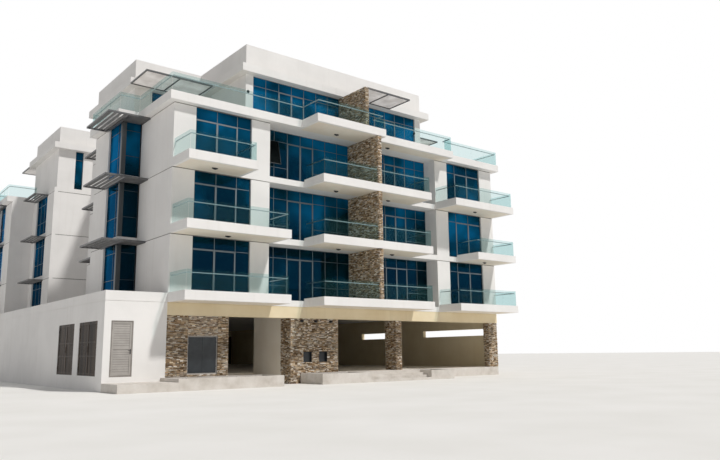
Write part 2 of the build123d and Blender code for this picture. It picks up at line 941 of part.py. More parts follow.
# The podium's side wall between its doorways, and the wall at the right towards the rear
side_stops = [beam_depth]
for start in side_door_starts:
    side_stops.append(start)
    side_stops.append(start + side_door_width)
side_stops.append(2 * half_depth - beam_depth)
with BuildPart() as ground_side_walls:
    for index in range(0, len(side_stops), 2):
        block(
            (podium_face, podium_face + wall),
            (back(side_stops[index]), back(side_stops[index + 1])),
            (0, podium_top),
        )
    groove_along_y((beam_back, -beam_back), podium_face, 1)
    for start, end in ((back(side_pier_start), back(side_pier_end)), (back(well_start), -beam_back)):
        block((half_width - wall, half_width), (start, end), (0, side_beam_base))
save(ground_side_walls, "ground_side_walls")

# What closes the walls over and under the doorways and the utility panel
utility_left = across(utility_start)
utility_right = utility_left + utility_width
with BuildPart() as lintels_and_sills:
    for z_range in ((0, service_door_sill), (service_door_head, podium_top)):
        block((service_start, service_end), (front_face, beam_back), z_range)
    groove_along_x((service_start, service_end), front_face, 1, 1)
    for start in side_door_starts:
        for z_range in ((0, side_door_sill), (side_door_head, podium_top)):
            block((podium_face, podium_face + wall), (back(start), back(start + side_door_width)), z_range)
        groove_along_y((back(start), back(start + side_door_width)), podium_face, 1)
    for z_range in ((0, utility_sill), (utility_head, beam_base)):
        block((utility_left, utility_right), (stone_front, beam_back), z_range)
save(lintels_and_sills, "lintels_and_sills")

# The ground floor's edge on both sides of the steps
with BuildPart() as ground_edges:
    block((sign_end, steps_start), (stone_front, beam_back), (0, ground_floor))
    block((steps_end, half_width), (stone_front, beam_back), (0, ground_floor))
save(ground_edges, "ground_edges")

with BuildPart() as podium_roof:
    block(
        (podium_face + wall, left_face),
        (beam_back, -beam_back),
        (ground_soffit, ground_soffit + floor_thickness),
    )
save(podium_roof, "podium_roof")

# Stone-clad walls and piers under the beams
with BuildPart() as stone_walls:
    block((left_face, utility_left), (stone_front, beam_back), (0, beam_base))
    block((utility_right, stone_end), (stone_front, beam_back), (0, beam_base))
    block((pier_start, pier_end), (stone_front, back(pier_depth)), (ground_floor, beam_base))
    block((corner_pier_start, half_width), (stone_front, beam_back), (ground_floor, beam_base))
    block((left_face, sign_end), (-beam_back, -stone_front), (0, beam_base))
    block((pier_end, half_width), (-beam_back, -stone_front), (0, beam_base))
save(stone_walls, "stone_walls")

# The sign wall stands bare, with a return at its left end and two square boxes let into its face
with BuildPart() as sign_wall:
    block((sign_start, sign_end), (stone_front, beam_back), (0, beam_base))
    block((sign_start, sign_start + wall), (stone_front, back(sign_wall_return)), (0, beam_base))
    for index in range(2):
        box_start = sign_start + sign_box_start + index * sign_box_pitch
        cut(
            (box_start, box_start + sign_box),
            (stone_front, stone_front + sign_box_depth),
            (sign_box_bottom, sign_box_bottom + sign_box),
        )
save(sign_wall, "sign_wall")

# Plastered walls on both sides of the recess
with BuildPart() as recess_walls:
    block((stone_end - wall, stone_end), (beam_back, back(recess_depth)), (0, ground_soffit))
    block((sign_start, sign_start + wall), (back(sign_wall_return), back(recess_depth)), (0, ground_soffit))
save(recess_walls, "recess_walls")

# Low wall along the right of the undercroft, under an open slot
with BuildPart() as undercroft_wall:
    for start, end in ((beam_back, back(side_pier_start)), (back(side_pier_end), back(well_start))):
        block((half_width - wall, half_width), (start, end), (0, low_wall_height))
save(undercroft_wall, "undercroft_wall")

# Outside works along the front
first_planter_start = across(-platform_gap)
with BuildPart() as service_platform:
    block((podium_face, first_planter_start), (back(-platform_depth), front_face), (0, platform_height))
save(service_platform, "service_platform")

planter_spans = (
    (first_planter_start, first_planter_start + first_planter_length),
    (across(second_planter_start), steps_start),
    (steps_end, steps_end + third_planter_length),
)
with BuildPart() as planters:
    for start, end in planter_spans:
        block((start, end), (back(-platform_depth), front_face), (0, planter_height))
        cut(
            (start + planter_wall, end - planter_wall),
            (back(-platform_depth + planter_wall), back(-planter_wall)),
            (0, planter_height),
        )
save(planters, "planters")

with BuildPart() as planter_soil:
    for start, end in planter_spans:
        block(
            (start + planter_wall, end - planter_wall),
            (back(-platform_depth + planter_wall), back(-planter_wall)),
            (0, planter_height - planter_soil_drop),
        )
save(planter_soil, "planter_soil")

# Steps up to the ground floor, as one profile extruded along their width
riser = ground_floor / riser_count
with BuildPart() as entrance_steps:
    with BuildSketch(Plane.YZ.offset(steps_start)):
        with BuildLine():
            corners = [(beam_back, 0), (back(-platform_depth), 0)]
            for step in range(riser_count):
                nosing = back(-platform_depth + step * tread)
                corners.append((nosing, (step + 1) * riser))
                if step < riser_count - 1:
                    corners.append((nosing + tread, (step + 1) * riser))
            corners.append((beam_back, ground_floor))
            Polyline(*corners, close=True)
        make_face()
    extrude(amount=steps_width)
save(entrance_steps, "entrance_steps")


# Doors of the ground storey. A doorway is drawn flat, seen from outside: local X along the wall to
# the right, local Y up and local Z out of the wall. The frames stay, and the leaves swing out.
def front_plane(face):
    """Plane of the frames' face in a wall along the front."""
    return Plane((0, face + frame_inset, 0), x_dir=(1, 0, 0), z_dir=(0, -1, 0))


def side_plane():
    """Plane of the frames' face in the podium's left wall; local X runs towards the front."""
    return Plane((podium_face + frame_inset, 0, 0), x_dir=(0, -1, 0), z_dir=(-1, 0, 0))


def hinge_half(plane, edge, side, height, direction):
    """Add a knuckle and its flap. Side is 1 or -1, the flap's way along the wall; direction is 1
    for the upper half and -1 for the lower one."""
    foot = height + direction * knuckle_gap / 2
    centre = plane.from_local_coords((edge, foot, knuckle_radius))
    with BuildSketch(Plane(centre, x_dir=plane.x_dir * side, z_dir=(0, 0, 1))) as profile:
        RegularPolygon(knuckle_radius, side_count=knuckle_sides)
        with Locations((flap_width / 2, side * (knuckle_radius - flap_thickness / 2))):
            Rectangle(flap_width, flap_thickness)
    extrude(profile.sketch, amount=direction * knuckle_length)


def frame(plane, start, end, sill, head, hinged_sides):
    """Add a door frame with the lower halves of its hinges."""
    with BuildSketch(plane) as outline:
        with Locations(((start + end) / 2, (sill + head) / 2)):
            Rectangle(end - start, head - sill)
            Rectangle(end - start - 2 * frame_width, head - sill - 2 * frame_width, mode=Mode.SUBTRACT)
    extrude(outline.sketch, amount=-frame_depth)
    bottom = sill + frame_width + leaf_gap
    top = head - frame_width - leaf_gap
    for side in hinged_sides:
        edge = start + frame_width + leaf_gap / 2 if side < 0 else end - frame_width - leaf_gap / 2
        for height in (bottom + hinge_margin, top - hinge_margin):
            hinge_half(plane, edge, side, height, -1)


def leaf_rim(plane, start, end, bottom, top):
    """Add the stiles and rails round a leaf."""
    with BuildSketch(plane) as outline:
        with Locations(((start + end) / 2, (bottom + top) / 2)):
            Rectangle(end - start, top - bottom)
            Rectangle(end - start - 2 * stile_width, top - bottom - 2 * stile_width, mode=Mode.SUBTRACT)
    extrude(outline.sketch, amount=-leaf_thickness)


def leaf_hinges(plane, start, end, side, bottom, top):
    """Add the upper halves of a leaf's hinges, at the edge on the given side."""
    edge = start - leaf_gap / 2 if side < 0 else end + leaf_gap / 2
    for height in (bottom + hinge_margin, top - hinge_margin):
        hinge_half(plane, edge, -side, height, 1)


utility_middle = (utility_left + utility_right) / 2
with BuildPart() as door_frames:
    plane = front_plane(front_face)
    frame(plane, service_start, service_end, service_door_sill, service_door_head, (-1,))
    plane = front_plane(stone_front)
    frame(plane, utility_left, utility_right, utility_sill, utility_head, (-1, 1))
    for start in side_door_starts:
        left = -back(start + side_door_width)
        frame(side_plane(), left, left + side_door_width, side_door_sill, side_door_head, (-1, 1))
save(door_frames, "door_frames")

# The service door's leaf has a middle rail, and above and below it overlapping louvre blades: one
# leaning profile repeated up the leaf
leaf_edge = frame_width + leaf_gap
service_left = service_start + leaf_edge
service_right = service_end - leaf_edge
service_bottom = service_door_sill + leaf_edge
service_top = service_door_head - leaf_edge
service_middle = (service_bottom + service_top) / 2
with BuildPart() as service_door:
    plane = front_plane(front_face)
    leaf_rim(plane, service_left, service_right, service_bottom, service_top)
    with BuildSketch(plane) as middle_rail:
        with Locations(((service_left + service_right) / 2, service_middle)):
            Rectangle(service_right - service_left, stile_width)
    extrude(middle_rail.sketch, amount=-leaf_thickness)
    half_height = service_middle - service_bottom - 1.5 * stile_width
    pitch = half_height / louvre_count
    blade_middle = front_face + frame_inset + leaf_thickness / 2
    blade_end = (service_left + stile_width, blade_middle, 0)
    with BuildSketch(Plane(blade_end, x_dir=(0, -1, 0), z_dir=(-1, 0, 0))) as blades:
        for bottom in (service_bottom + stile_width, service_middle + stile_width / 2):
            for index in range(louvre_count):
                with Locations((0, bottom + (index + 0.5) * pitch)):
                    Rectangle(louvre_thickness, pitch + louvre_overlap, rotation=louvre_lean)
    extrude(blades.sketch, amount=service_left - service_right + 2 * stile_width)
    leaf_hinges(plane, service_left, service_right, -1, service_bottom, service_top)

    # Handle: a plate, and a bar that comes out of it and turns toward the hinges
    handle_x = service_right - stile_width / 2
    handle_z = service_bottom + handle_height
    with BuildSketch(plane) as plate:
        with Locations((handle_x, handle_z - handle_plate[1] / 4)):
            Rectangle(handle_plate[0], handle_plate[1])
    extrude(plate.sketch, amount=handle_plate[2])
    handle_foot = plane.from_local_coords((handle_x, handle_z - handle_bar / 2, 0))
    with BuildSketch(Plane(handle_foot, x_dir=(1, 0, 0), z_dir=(0, 0, 1))) as lever:
        with BuildLine():
            Polyline((0, 0), (0, -handle_reach), (-lever_length, -handle_reach))
        trace(line_width=handle_bar)
    extrude(lever.sketch, amount=handle_bar)
save(service_door, "service_door")

# The two leaves of the utility panel are plain trays, closed at the front
utility_leaves = (
    ("utility_door_left", utility_left + leaf_edge, utility_middle - leaf_gap / 2, -1),
    ("utility_door_right", utility_middle + leaf_gap / 2, utility_right - leaf_edge, 1),
)
for name, start, end, side in utility_leaves:
    bottom = utility_sill + leaf_edge
    top = utility_head - leaf_edge
    plane = front_plane(stone_front)
    with BuildPart() as utility_leaf:
        with BuildSketch(plane) as outline:
            with Locations(((start + end) / 2, (bottom + top) / 2)):
                Rectangle(end - start, top - bottom)
        extrude(outline.sketch, amount=-leaf_thickness)
        leaf_hinges(plane, start, end, side, bottom, top)
    save(utility_leaf, name)

# The side doors' leaves have upright slats with open gaps
for number, start in enumerate(side_door_starts, 1):
    left = -back(start + side_door_width)
    middle = left + side_door_width / 2
    side_leaves = (
        (f"side_door_{number}_front", middle + leaf_gap / 2, left + side_door_width - leaf_edge, 1),
        (f"side_door_{number}_rear", left + leaf_edge, middle - leaf_gap / 2, -1),
    )
    bottom = side_door_sill + leaf_edge
    top = side_door_head - leaf_edge
    for name, leaf_start, leaf_end, side in side_leaves:
        with BuildPart() as side_leaf:
            leaf_rim(side_plane(), leaf_start, leaf_end, bottom, top)
            inner_width = leaf_end - leaf_start - 2 * stile_width
            slat_width = (inner_width - (slat_count + 1) * slat_gap) / slat_count
            with BuildSketch(side_plane().offset(-panel_depth)) as slats:
                for index in range(slat_count):
                    slat_start = leaf_start + stile_width + slat_gap + index * (slat_width + slat_gap)
                    with Locations((slat_start + slat_width / 2, (bottom + top) / 2)):
                        Rectangle(slat_width, top - bottom - 2 * stile_width)
            extrude(slats.sketch, amount=2 * panel_depth - leaf_thickness)
            leaf_hinges(side_plane(), leaf_start, leaf_end, side, bottom, top)
        save(side_leaf, name)
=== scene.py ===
# %% [markdown]
# # Dressing an apartment block
# The block's walls, floors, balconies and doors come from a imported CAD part, which is a fixed frame.
# This lesson gives every surface a real finish and adds what a CAD part leaves plain: window bars,
# strips of stone, sheets of glass, brackets and lamps. Each step says what the real thing is, how it
# could be made, and why it is made so.

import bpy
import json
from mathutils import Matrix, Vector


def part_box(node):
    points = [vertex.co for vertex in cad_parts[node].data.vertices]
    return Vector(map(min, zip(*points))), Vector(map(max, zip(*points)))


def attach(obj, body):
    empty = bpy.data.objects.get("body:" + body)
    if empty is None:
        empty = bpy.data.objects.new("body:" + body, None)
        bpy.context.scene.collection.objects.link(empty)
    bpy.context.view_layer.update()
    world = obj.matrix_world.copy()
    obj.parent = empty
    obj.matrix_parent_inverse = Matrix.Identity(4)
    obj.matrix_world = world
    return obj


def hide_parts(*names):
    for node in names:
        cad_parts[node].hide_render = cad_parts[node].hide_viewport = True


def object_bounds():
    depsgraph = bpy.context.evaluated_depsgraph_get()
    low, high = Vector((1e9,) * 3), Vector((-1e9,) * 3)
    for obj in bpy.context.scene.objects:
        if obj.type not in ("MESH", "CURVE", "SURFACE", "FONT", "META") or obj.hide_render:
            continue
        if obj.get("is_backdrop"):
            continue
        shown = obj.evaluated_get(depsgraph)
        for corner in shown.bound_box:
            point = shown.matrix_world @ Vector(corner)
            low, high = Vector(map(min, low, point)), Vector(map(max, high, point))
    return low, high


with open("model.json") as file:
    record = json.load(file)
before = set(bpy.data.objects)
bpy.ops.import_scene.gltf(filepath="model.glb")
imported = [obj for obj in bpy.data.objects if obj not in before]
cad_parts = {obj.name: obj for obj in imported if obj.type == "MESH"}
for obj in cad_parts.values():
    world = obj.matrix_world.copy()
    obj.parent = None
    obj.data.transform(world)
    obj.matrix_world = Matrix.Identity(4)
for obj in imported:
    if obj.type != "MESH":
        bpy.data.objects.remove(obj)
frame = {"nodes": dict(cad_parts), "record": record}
cad_low, cad_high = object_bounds()

# %% [markdown]
# ## Tools
# bpy holds the scene, and bmesh builds a mesh point by point. mathutils helps with directions, numpy
# with many points at once, and random with strips and clods that have to differ.

# %% Tools of the lesson
import json
import math
import random

import bmesh
import bpy
import numpy as np
from mathutils import Matrix, Vector
from mathutils.bvhtree import BVHTree

print("version", bpy.app.version_string)

# %% [markdown]
# ## Where things are
# The main front wall's face is 17.55 m in front of the origin and the main side walls are 11 m to each
# side. A storey is 3.1 m. The same few numbers place posts, seals, lamps and shadow gaps, so they come
# first.

# %% The building's main lines, in metres
HALF_WIDTH = 11.0
FRONT = -17.55
STOREY = 3.1
FIRST_SOFFIT = 3.77
FLOOR = 0.3
WING_END = 5.15
PODIUM_CORNER = -HALF_WIDTH - 2.72
LEAF_FACE = FRONT + 0.02


def soffit(level):
    """Height of the underside of a level's floor."""
    return FIRST_SOFFIT + (level - 1) * STOREY


def across(distance):
    """Place along X, from the main left wall's face."""
    return distance - HALF_WIDTH


print("soffits", [round(soffit(level), 2) for level in range(1, 6)])

# %% [markdown]
# ## Colours
# Colours are picked as sRGB hex values, as a paint chart gives them, and shaders want linear light, so
# one function turns them.


# %% From a hex value to linear light
def linear(hex_colour):
    """A linear colour from an sRGB hex value."""
    values = [int(hex_colour[i:i + 2], 16) / 255 for i in (1, 3, 5)]
    values = [v / 12.92 if v <= 0.04045 else ((v + 0.055) / 1.055) ** 2.4 for v in values]
    return (*values, 1.0)


print("mid grey", [round(v, 3) for v in linear("#808080")])

# %% [markdown]
# ## Nodes
# One small function adds a node with its settings and links, which keeps each material short enough to
# read from top to bottom. A pattern is as large as the real one when its scale is worked out from the
# real size of a grain, and laid on the places on the object, which are in metres.


# %% Helpers for materials
def add(tree, kind, settings=None, links=None):
    """Add a node. Settings go to its sockets, properties or ramp, links come from other nodes."""
    node = tree.nodes.new(kind)
    for key, value in (settings or {}).items():
        if key == "stops":
            elements = node.color_ramp.elements
            while len(elements) < len(value):
                elements.new(0.5)
            for element, (position, colour) in zip(elements, value):
                element.position = position
                element.color = linear(colour)
        elif isinstance(key, int) or key in node.inputs:
            node.inputs[key].default_value = value
        else:
            setattr(node, key, value)
    for socket, source in (links or {}).items():
        output = source.outputs[0] if isinstance(source, bpy.types.Node) else source
        tree.links.new(output, node.inputs[socket])
    return node


def start_material(name):
    """A new node material and its tree, without any node yet."""
    material = bpy.data.materials.new(name)
    material.use_nodes = True
    material.node_tree.nodes.clear()
    return material, material.node_tree


def per_metre(millimetres):
    """A pattern's scale, from the size of one of its grains."""
    return 1000 / millimetres


print("grains of 50 mm:", per_metre(50), "per metre")

# %% [markdown]
# ## Painted render
# The walls are sand-and-cement render under off-white masonry paint. It is nearly flat: what the eye
# reads is a faint cloudiness where the coat dried unevenly, thin rain streaks and the float's drag
# marks. The streaks are noise stretched downwards, and the marks are a shallow bump. The coat is chalky
# and matt, so its specular level is low: with a full one the walls would shine where they are seen at a
# flat angle. Under the balconies the same coat is cream, which is painted warm bounce light from the
# sunny ground. The beams over the open ground storey are a deeper cream, partly their own paint and
# partly painted bounce light.


# %% Painted render, and the cream coats of painted bounce light
def painted_wall(name, clean, cloudy, streaked):
    """Masonry paint on render: cloudy patches, rain streaks and float marks."""
    material, tree = start_material(name)
    place = add(tree, "ShaderNodeTexCoord").outputs["Object"]
    patches = add(
        tree, "ShaderNodeTexNoise",
        {"Scale": per_metre(1600), "Detail": 4.0, "Roughness": 0.55}, {"Vector": place},
    )
    coat = add(tree, "ShaderNodeValToRGB", {"stops": [(0.35, cloudy), (0.62, clean)]}, {0: patches})
    stretched = add(tree, "ShaderNodeMapping", {"Scale": (1, 1, 0.06)}, {"Vector": place})
    streaks = add(
        tree, "ShaderNodeTexNoise", {"Scale": per_metre(260), "Detail": 3.0}, {"Vector": stretched},
    )
    streak_amount = add(
        tree, "ShaderNodeMapRange",
        {"From Min": 0.56, "From Max": 0.8, "To Min": 0.0, "To Max": 0.22}, {"Value": streaks},
    )
    weathered = add(
        tree, "ShaderNodeMix", {"data_type": "RGBA", 7: linear(streaked)},
        {"Factor": streak_amount, 6: coat},
    )
    float_marks = add(
        tree, "ShaderNodeTexNoise",
        {"Scale": per_metre(90), "Detail": 6.0, "Roughness": 0.7}, {"Vector": place},
    )
    relief = add(
        tree, "ShaderNodeBump", {"Strength": 0.25, "Distance": 0.004}, {"Height": float_marks},
    )
    surface = add(
        tree, "ShaderNodeBsdfPrincipled",
        {"Roughness": 0.9, "IOR": 1.45, "Specular IOR Level": 0.15},
        {"Base Color": weathered.outputs[2], "Normal": relief},
    )
    add(tree, "ShaderNodeOutputMaterial", links={0: surface})
    return material


masonry_paint = painted_wall("masonry_paint_on_render", "#f4f2f0", "#eeecea", "#dcd7d1")
# painted warm bounce light: the soffits' cream stands for light bounced up from the sunny ground
cream_of_painted_bounce = painted_wall("cream_of_painted_bounce_on_soffits", "#f5eee1", "#eee4d4", "#e0d4be")
# the beams' cream is partly their own paint and partly painted warm bounce light
beam_cream_and_painted_bounce = painted_wall("beam_cream_with_painted_bounce", "#eddfc0", "#e5d5b3", "#d3c19c")
print("wall finishes", masonry_paint.name, cream_of_painted_bounce.name, beam_cream_and_painted_bounce.name)

# %% [markdown]
# ## Fair-faced concrete
# The planters, the platform and the steps are cast concrete, left as it came from the boards. Air
# bubbles leave small pits, and water leaves pale and dark clouds. A pattern of cells gives the pits.
# Real ones are a few millimetres wide, and here they are drawn in cells of 55 mm, so that they show.

# %% Fair-faced concrete
PIT_MM = 55
cast_concrete, tree = start_material("fair_faced_concrete")
place = add(tree, "ShaderNodeTexCoord").outputs["Object"]
clouds = add(
    tree, "ShaderNodeTexNoise",
    {"Scale": per_metre(700), "Detail": 8.0, "Roughness": 0.62}, {"Vector": place},
)
cement = add(
    tree, "ShaderNodeValToRGB",
    {"stops": [(0.3, "#c3bcb3"), (0.5, "#d5cfc8"), (0.7, "#dfdad4")]}, {0: clouds},
)
bubbles = add(tree, "ShaderNodeTexVoronoi", {"Scale": per_metre(PIT_MM)}, {"Vector": place})
pits = add(
    tree, "ShaderNodeMapRange", {"From Min": 0.05, "From Max": 0.2},
    {"Value": bubbles.outputs["Distance"]},
)
pitted = add(tree, "ShaderNodeBump", {"Strength": 0.3, "Distance": 0.003}, {"Height": pits})
surface = add(
    tree, "ShaderNodeBsdfPrincipled", {"Roughness": 0.88, "IOR": 1.5, "Specular IOR Level": 0.25},
    {"Base Color": cement, "Normal": pitted},
)
add(tree, "ShaderNodeOutputMaterial", links={0: surface})
print(cast_concrete.name, "pits", round(per_metre(PIT_MM), 1), "per metre")

# %% [markdown]
# ## Porcelain tiles
# Balconies and terraces are paved with large pale tiles, pressed and fired, with a satin face. A brick
# pattern without an offset lays them, each a little lighter or darker than the next, as tiles from one
# box are, and a shallow bump sinks the joints.

# %% Porcelain tiles
TILE = 0.6
porcelain_tiles, tree = start_material("pale_porcelain_tiles")
place = add(tree, "ShaderNodeTexCoord").outputs["Object"]
laid = add(
    tree, "ShaderNodeTexBrick",
    {"offset": 0.0, "Scale": 1.0, "Mortar Size": 0.003, "Brick Width": TILE, "Row Height": TILE,
     "Color1": linear("#d8d1c6"), "Color2": linear("#cdc5b9"), "Mortar": linear("#9b9388")},
    {"Vector": place},
)
joints = add(
    tree, "ShaderNodeBump", {"Strength": 0.4, "Distance": 0.002, "invert": True},
    {"Height": laid.outputs["Fac"]},
)
surface = add(
    tree, "ShaderNodeBsdfPrincipled", {"Roughness": 0.5, "IOR": 1.5},
    {"Base Color": laid.outputs["Color"], "Normal": joints},
)
add(tree, "ShaderNodeOutputMaterial", links={0: surface})
print(porcelain_tiles.name, TILE, "m wide")

# %% [markdown]
# ## Soil
# The planters hold dry, crumbly soil. It has no sheen at all, and one noise with much detail gives its
# colour and its lumps together, so that the raised crumbs are also the pale ones. Crumbs of a
# centimetre wouldn't show from the camera, and so the largest are drawn at 45 mm.

# %% Planting soil
planting_soil, tree = start_material("planting_soil")
place = add(tree, "ShaderNodeTexCoord").outputs["Object"]
crumbs = add(
    tree, "ShaderNodeTexNoise", {"Scale": per_metre(45), "Detail": 9.0, "Roughness": 0.75},
    {"Vector": place},
)
earth = add(
    tree, "ShaderNodeValToRGB",
    {"stops": [(0.35, "#241a12"), (0.5, "#3d2d20"), (0.68, "#5d4834")]}, {0: crumbs},
)
lumpy = add(tree, "ShaderNodeBump", {"Strength": 0.9, "Distance": 0.012}, {"Height": crumbs})
surface = add(
    tree, "ShaderNodeBsdfPrincipled", {"Roughness": 0.95, "IOR": 1.4, "Specular IOR Level": 0.2},
    {"Base Color": earth, "Normal": lumpy},
)
add(tree, "ShaderNodeOutputMaterial", links={0: surface})
print(planting_soil.name)

# %% [markdown]
# ## Split-face stone
# The fins and the ground storey are clad in split sandstone and slate strips. Each strip came from
# another layer of rock, so each has its own brown, buff or grey. Every strip is an island of its mesh,
# and the Geometry node's random value per island picks its colour; noise adds the grain of the split,
# drawn at 35 mm, which is coarser than the real grain, so that it shows. The mortar bed behind the
# strips is darker, because it lies in their shade.


# %% Split-face stone strips, and the bed behind them
def split_stone(name, stops, grain_depth):
    """Stone strips, one colour an island, with a rough split face."""
    material, tree = start_material(name)
    place = add(tree, "ShaderNodeTexCoord").outputs["Object"]
    island = add(tree, "ShaderNodeNewGeometry").outputs["Random Per Island"]
    rock = add(tree, "ShaderNodeValToRGB", {"stops": stops}, {0: island})
    grain = add(
        tree, "ShaderNodeTexNoise",
        {"Scale": per_metre(35), "Detail": 8.0, "Roughness": 0.7}, {"Vector": place},
    )
    light_and_dark = add(
        tree, "ShaderNodeMapRange", {"To Min": 0.72, "To Max": 1.25}, {"Value": grain},
    )
    veined = add(
        tree, "ShaderNodeMix", {"data_type": "RGBA", "blend_type": "MULTIPLY", "Factor": 1.0},
        {6: rock, 7: light_and_dark},
    )
    split = add(
        tree, "ShaderNodeBump", {"Strength": 0.6, "Distance": grain_depth}, {"Height": grain},
    )
    surface = add(
        tree, "ShaderNodeBsdfPrincipled",
        {"Roughness": 0.88, "IOR": 1.5, "Specular IOR Level": 0.25},
        {"Base Color": veined.outputs[2], "Normal": split},
    )
    add(tree, "ShaderNodeOutputMaterial", links={0: surface})
    return material


stone_strips = split_stone(
    "split_face_sandstone",
    [(0.0, "#5c4731"), (0.16, "#8c755a"), (0.34, "#bca080"), (0.5, "#e2d0b4"),
     (0.64, "#77695a"), (0.82, "#b5a694"), (1.0, "#f9f3e8")],
    0.012,
)
stone_bed = split_stone("mortar_bed_behind_stone", [(0.0, "#463c30"), (1.0, "#574c3e")], 0.006)
print("stone", stone_strips.name, "on", stone_bed.name)

# %% [markdown]
# ## Window glass
# The windows are tinted solar-control glass: a dark teal body under a thin metal-oxide coating that
# mirrors blue. The body is a principled shader without its own reflection, a little see-through, so
# that the rooms show. Over it lies a blue mirror, mixed in by the angle between the pane and the view,
# which makes it strong where one looks along the pane. A principled shader's own edge reflection would
# stay white. The tint drifts from pane to pane, and it is painted darker toward the ground and bluer
# toward the top: a painted reflection of the dark street low down and of the sky high up. The opening
# sash's glass is painted near-black, a painted reflection of the shaded balcony below it, and its
# mirror is weak.


# %% Solar-control glass with a painted reflection, and the sash's glass painted dark
def window_pane(name, stops, mirror):
    """Tinted glass: a body painted darker toward the ground and bluer toward the top, as a painted
    reflection, and a coloured mirror over it.
    """
    material, tree = start_material(name)
    place = add(tree, "ShaderNodeTexCoord").outputs["Object"]
    drift = add(tree, "ShaderNodeTexNoise", {"Scale": per_metre(2600)}, {"Vector": place})
    rise = add(tree, "ShaderNodeSeparateXYZ", links={0: place})
    # painted reflection: the tint is darker toward the ground, for the dark street, and bluer toward
    # the top, for the sky
    painted_reflection_by_height = add(
        tree, "ShaderNodeMapRange",
        {"From Min": soffit(1), "From Max": soffit(5), "To Min": -0.15, "To Max": 0.13},
        {"Value": rise.outputs["Z"]},
    )
    tone = add(tree, "ShaderNodeMath", {"operation": "ADD"}, {0: drift, 1: painted_reflection_by_height})
    tint = add(tree, "ShaderNodeValToRGB", {"stops": stops}, {0: tone})
    roller_waves = add(tree, "ShaderNodeTexNoise", {"Scale": per_metre(500)}, {"Vector": place})
    waviness = add(
        tree, "ShaderNodeBump", {"Strength": 0.05, "Distance": 0.02}, {"Height": roller_waves},
    )
    body = add(
        tree, "ShaderNodeBsdfPrincipled",
        {"Roughness": 0.2, "IOR": 1.52, "Specular IOR Level": 0.0, "Alpha": 0.92},
        {"Base Color": tint},
    )
    coating = add(
        tree, "ShaderNodeBsdfAnisotropic", {"Color": linear(mirror), "Roughness": 0.04},
        {"Normal": waviness},
    )
    grazing = add(tree, "ShaderNodeFresnel", {"IOR": 1.6}, {"Normal": waviness})
    coated = add(tree, "ShaderNodeMixShader", links={0: grazing, 1: body, 2: coating})
    add(tree, "ShaderNodeOutputMaterial", links={0: coated})
    return material


solar_glass = window_pane(
    "solar_control_glass",
    [(0.3, "#06181a"), (0.45, "#04272f"), (0.57, "#054561"), (0.7, "#0a6b9c")], "#1f78b8",
)
# painted reflection: the sash's glass is near-black, for the shaded balcony below that it mirrors
sash_glass_painted_dark = window_pane("sash_glass_painted_dark_reflection", [(0.3, "#0c0f10"), (0.7, "#1a1f20")], "#3c4a4c")
print("panes", solar_glass.name, sash_glass_painted_dark.name)

# %% [markdown]
# ## Toughened glass
# The balustrades are clear toughened glass, pale green where one looks through the sheet and deep
# green along its edges, where one looks through its whole width. A tinted transparent shader lets the
# view through, and a little of a glossy one keeps the reflections. Upper edges are the faces that face
# up, and they are nearly solid.

# %% Toughened glass
toughened_glass, tree = start_material("toughened_glass")
facing = add(tree, "ShaderNodeNewGeometry").outputs["Normal"]
parts = add(tree, "ShaderNodeSeparateXYZ", links={0: facing})
upward = add(
    tree, "ShaderNodeMath", {"operation": "GREATER_THAN", 1: 0.5}, {0: parts.outputs["Z"]},
)
solidity = add(tree, "ShaderNodeMapRange", {"To Min": 0.025, "To Max": 0.8}, {"Value": upward})
through = add(tree, "ShaderNodeBsdfTransparent", {"Color": linear("#eff7f7")})
sheet = add(
    tree, "ShaderNodeBsdfPrincipled",
    {"Base Color": linear("#5ea3a6"), "Roughness": 0.03, "IOR": 1.52},
)
both = add(tree, "ShaderNodeMixShader", links={0: solidity, 1: through, 2: sheet})
add(tree, "ShaderNodeOutputMaterial", links={0: both})
print(toughened_glass.name)

# %% [markdown]
# ## Bare metals
# Window bars are anodised aluminium, silver on the walls and dark at the bays, and handrails are
# brushed stainless steel. Anodising and brushing leave a fine grain, which the eye reads as a soft,
# uneven sheen. The real grain is under a millimetre and wouldn't show on a building, so it is drawn at
# 6 to 12 mm.


# %% Anodised aluminium and brushed steel
def metal(name, colour, roughness, grain_mm):
    """Bare metal with a fine grain."""
    material, tree = start_material(name)
    place = add(tree, "ShaderNodeTexCoord").outputs["Object"]
    grain = add(
        tree, "ShaderNodeTexNoise", {"Scale": per_metre(grain_mm), "Detail": 4.0},
        {"Vector": place},
    )
    sheen = add(
        tree, "ShaderNodeMapRange", {"To Min": roughness - 0.08, "To Max": roughness + 0.08},
        {"Value": grain},
    )
    relief = add(tree, "ShaderNodeBump", {"Strength": 0.08, "Distance": 0.001}, {"Height": grain})
    surface = add(
        tree, "ShaderNodeBsdfPrincipled", {"Base Color": linear(colour), "Metallic": 1.0},
        {"Roughness": sheen, "Normal": relief},
    )
    add(tree, "ShaderNodeOutputMaterial", links={0: surface})
    return material


silver_bar = metal("anodised_aluminium", "#737a7e", 0.45, 12)
dark_bar = metal("dark_anodised_aluminium", "#474a4c", 0.4, 12)
brushed_steel = metal("brushed_stainless_steel", "#b4b8ba", 0.3, 6)
print("metals", silver_bar.name, dark_bar.name, brushed_steel.name)
